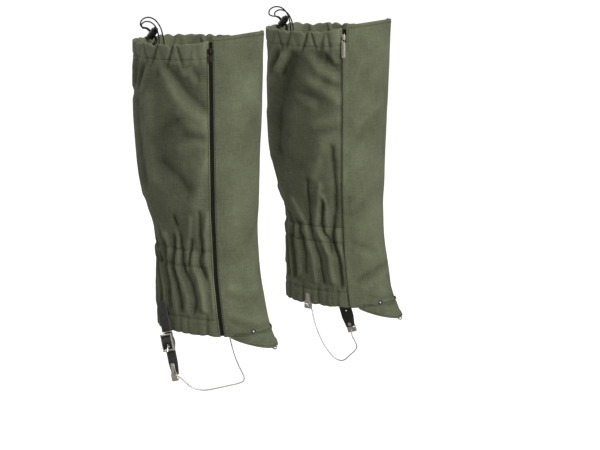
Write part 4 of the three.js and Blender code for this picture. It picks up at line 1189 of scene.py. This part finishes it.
def grainMaterial(name):
    look = grainLooks[name]
    material, tree, shader = newMaterial(name, {"Specular IOR Level": 0.4})
    spots = addNode(tree, "TexCoord").outputs["Object"]
    grain = useGroup(tree, "grain", {"Coordinates": spots, "Size": look["size"]})
    uneven = useGroup(tree, "uneven", {"Coordinates": spots, "Patch": 60.0, "Grit": 1500.0})
    wear = useGroup(tree, "wear", {"Coordinates": spots, "Sharpness": 7.0})
    pores = arithmetic(tree, "MULTIPLY", grain["Pores"], 0.4)
    mixed = arithmetic(tree, "MULTIPLY_ADD", uneven["Slow"], 0.5, pores)
    mixed = addNode(tree, "Clamp", None, {0: arithmetic(tree, "ADD", mixed, wear["Mask"])}).outputs[0]
    base = blended(tree, mixed, colour(*look["dark"]), colour(*look["light"]))
    tree.links.new(base, shader.inputs["Base Color"])
    rough = arithmetic(tree, "MULTIPLY_ADD", uneven["Fine"], 0.2, look["rough"] - 0.1)
    tree.links.new(rough, shader.inputs["Roughness"])
    addBump(tree, shader, 0.6, look["bump"], grain["Height"])
    return material


materials = {name: clothMaterial(name) for name in clothLooks}
materials.update({name: metalMaterial(name) for name in metalLooks})
materials.update({name: grainMaterial(name) for name in grainLooks})
materials["seamThread"] = threadMaterial()
print("materials mixed")


def place(piece, material, body, slot, *nodes):
    piece.data.materials.clear()
    piece.data.materials.append(materials[material])
    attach(piece, body)
    if nodes:
        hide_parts(*nodes)
    return piece


def finishPiece(node, name):
    body, material, slot, _ = hardware[node]
    return place(finishedCopy(node, name), material, f"{body}_{name}", slot, f"{node}_{name}")


def threadAndLock(name, hand):
    cord, line, length = makeDrawcord(name, hand)
    place(cord, "cordBraid", f"gaiter_{name}", "black_cord", f"drawcord_{name}")
    locks = [finishPiece(node, name) for node in ("cord_lock_barrel", "cord_lock_plunger")]
    print("drawcord", name, round(length, 4))


def sewGaiter(name, hand):
    body = f"gaiter_{name}"
    shin = place(sewShinPanel(name, hand), "shinCloth", body, "shin_cloth", f"front_panel_{name}")
    calf = place(sewCalfPanel(name, hand), "calfCloth", body, "calf_cloth", f"back_panel_{name}")
    flap = place(sewInstepFlap(name, hand), "shinCloth", body, "shin_cloth", f"instep_flap_{name}")
    for node in ("hem_elastic", "ankle_elastic"):
        band = place(sewElastic(node, name, hand), "elasticCloth", body, "elastic", f"{node}_{name}")
    bead = smallBead((threadSet["long"], threadSet["wide"], threadSet["high"]))
    thread = repeated(f"seamThread_{name}", bead, seamRows(name, hand))
    bpy.data.objects.remove(bead)
    place(thread, "seamThread", body, "shin_cloth")
    tapes = {"front": [], "back": []}
    for kind in ("lateral", "medial"):
        for ahead, half in ((1, "front"), (-1, "back")):
            tape, teeth = makeZipHalf(kind, ahead, name, hand)
            tapes[half].append(place(tape, "zipTape", body, "zip_tape", f"{kind}_zip_{half}_{name}"))
            place(teeth, zipSet[kind]["material"], body, zipSet[kind]["slot"])
    print("cloth sewn", name)


def fitHardware(name, hand):
    for node in hardware:
        if node.startswith("cord_lock"):
            continue
        piece = finishPiece(node, name)
        if node == "medial_zip_pull":
            place(makePullGrip(name, piece), "pullMetal", f"medial_pull_{name}", "nickel")
    wire, ball, line, length = makeStirrup(name, hand)
    place(wire, "steelWire", f"stirrup_{name}", "steel_wire", f"stirrup_wire_{name}")
    place(ball, "nickel", f"stirrup_{name}", "steel_wire")
    print("hardware fitted", name, "wire", round(length, 4))


for name, hand in gaiterSides.items():
    threadAndLock(name, hand)
for name, hand in gaiterSides.items():
    sewGaiter(name, hand)
    fitHardware(name, hand)


floorSet = {"half": 14, "colour": (168, 168, 166), "glow": 0.9}
lampsAim = (0, 0, 0.27)
lightSet = {
    "key": {"place": (3.1, -1.0, 1.5), "size": 1.3, "power": 98},
    "rim": {"place": (-2.4, -0.7, 1.2), "size": 1.2, "power": 22},
    "top": {"place": (0.3, 0.2, 3.0), "size": 2.0, "power": 20},
}
worldSet = {"seen": 1.0, "lit": 0.30}


def layFloor():
    deselectAll()
    bpy.ops.mesh.primitive_plane_add(size=2 * floorSet["half"], location=(0, 0, 0))
    floor = bpy.context.object
    floor.name = "studioFloor"
    plain = {"Roughness": 0.9, "Base Color": colour(*floorSet["colour"]), "Emission Color": (1, 1, 1, 1)}
    material, tree, shader = newMaterial("studioFloor", plain)
    seen = addNode(tree, "LightPath").outputs["Is Camera Ray"]
    tree.links.new(arithmetic(tree, "MULTIPLY", seen, floorSet["glow"]), shader.inputs["Emission Strength"])
    floor.data.materials.append(material)


# The world is seen white by the camera and lights the model more dimly.
def hangLights():
    for label, lamp in lightSet.items():
        aim = (Vector(lampsAim) - Vector(lamp["place"])).to_track_quat("-Z", "Y").to_euler()
        bpy.ops.object.light_add(type="AREA", location=lamp["place"], rotation=aim)
        light = bpy.context.object
        light.name = label
        light.data.size = lamp["size"]
        light.data.energy = lamp["power"]
    world = bpy.data.worlds.new("studio")
    world.use_nodes = True
    tree = world.node_tree
    sky = next(node for node in tree.nodes if node.type == "BACKGROUND")
    sky.inputs["Color"].default_value = (1, 1, 1, 1)
    seen = addNode(tree, "LightPath").outputs["Is Camera Ray"]
    strength = arithmetic(tree, "MULTIPLY_ADD", seen, worldSet["seen"] - worldSet["lit"], worldSet["lit"])
    tree.links.new(strength, sky.inputs["Strength"])
    scene.world = world
    scene.view_settings.view_transform = "Standard"


layFloor()
hangLights()
print("studio lit")
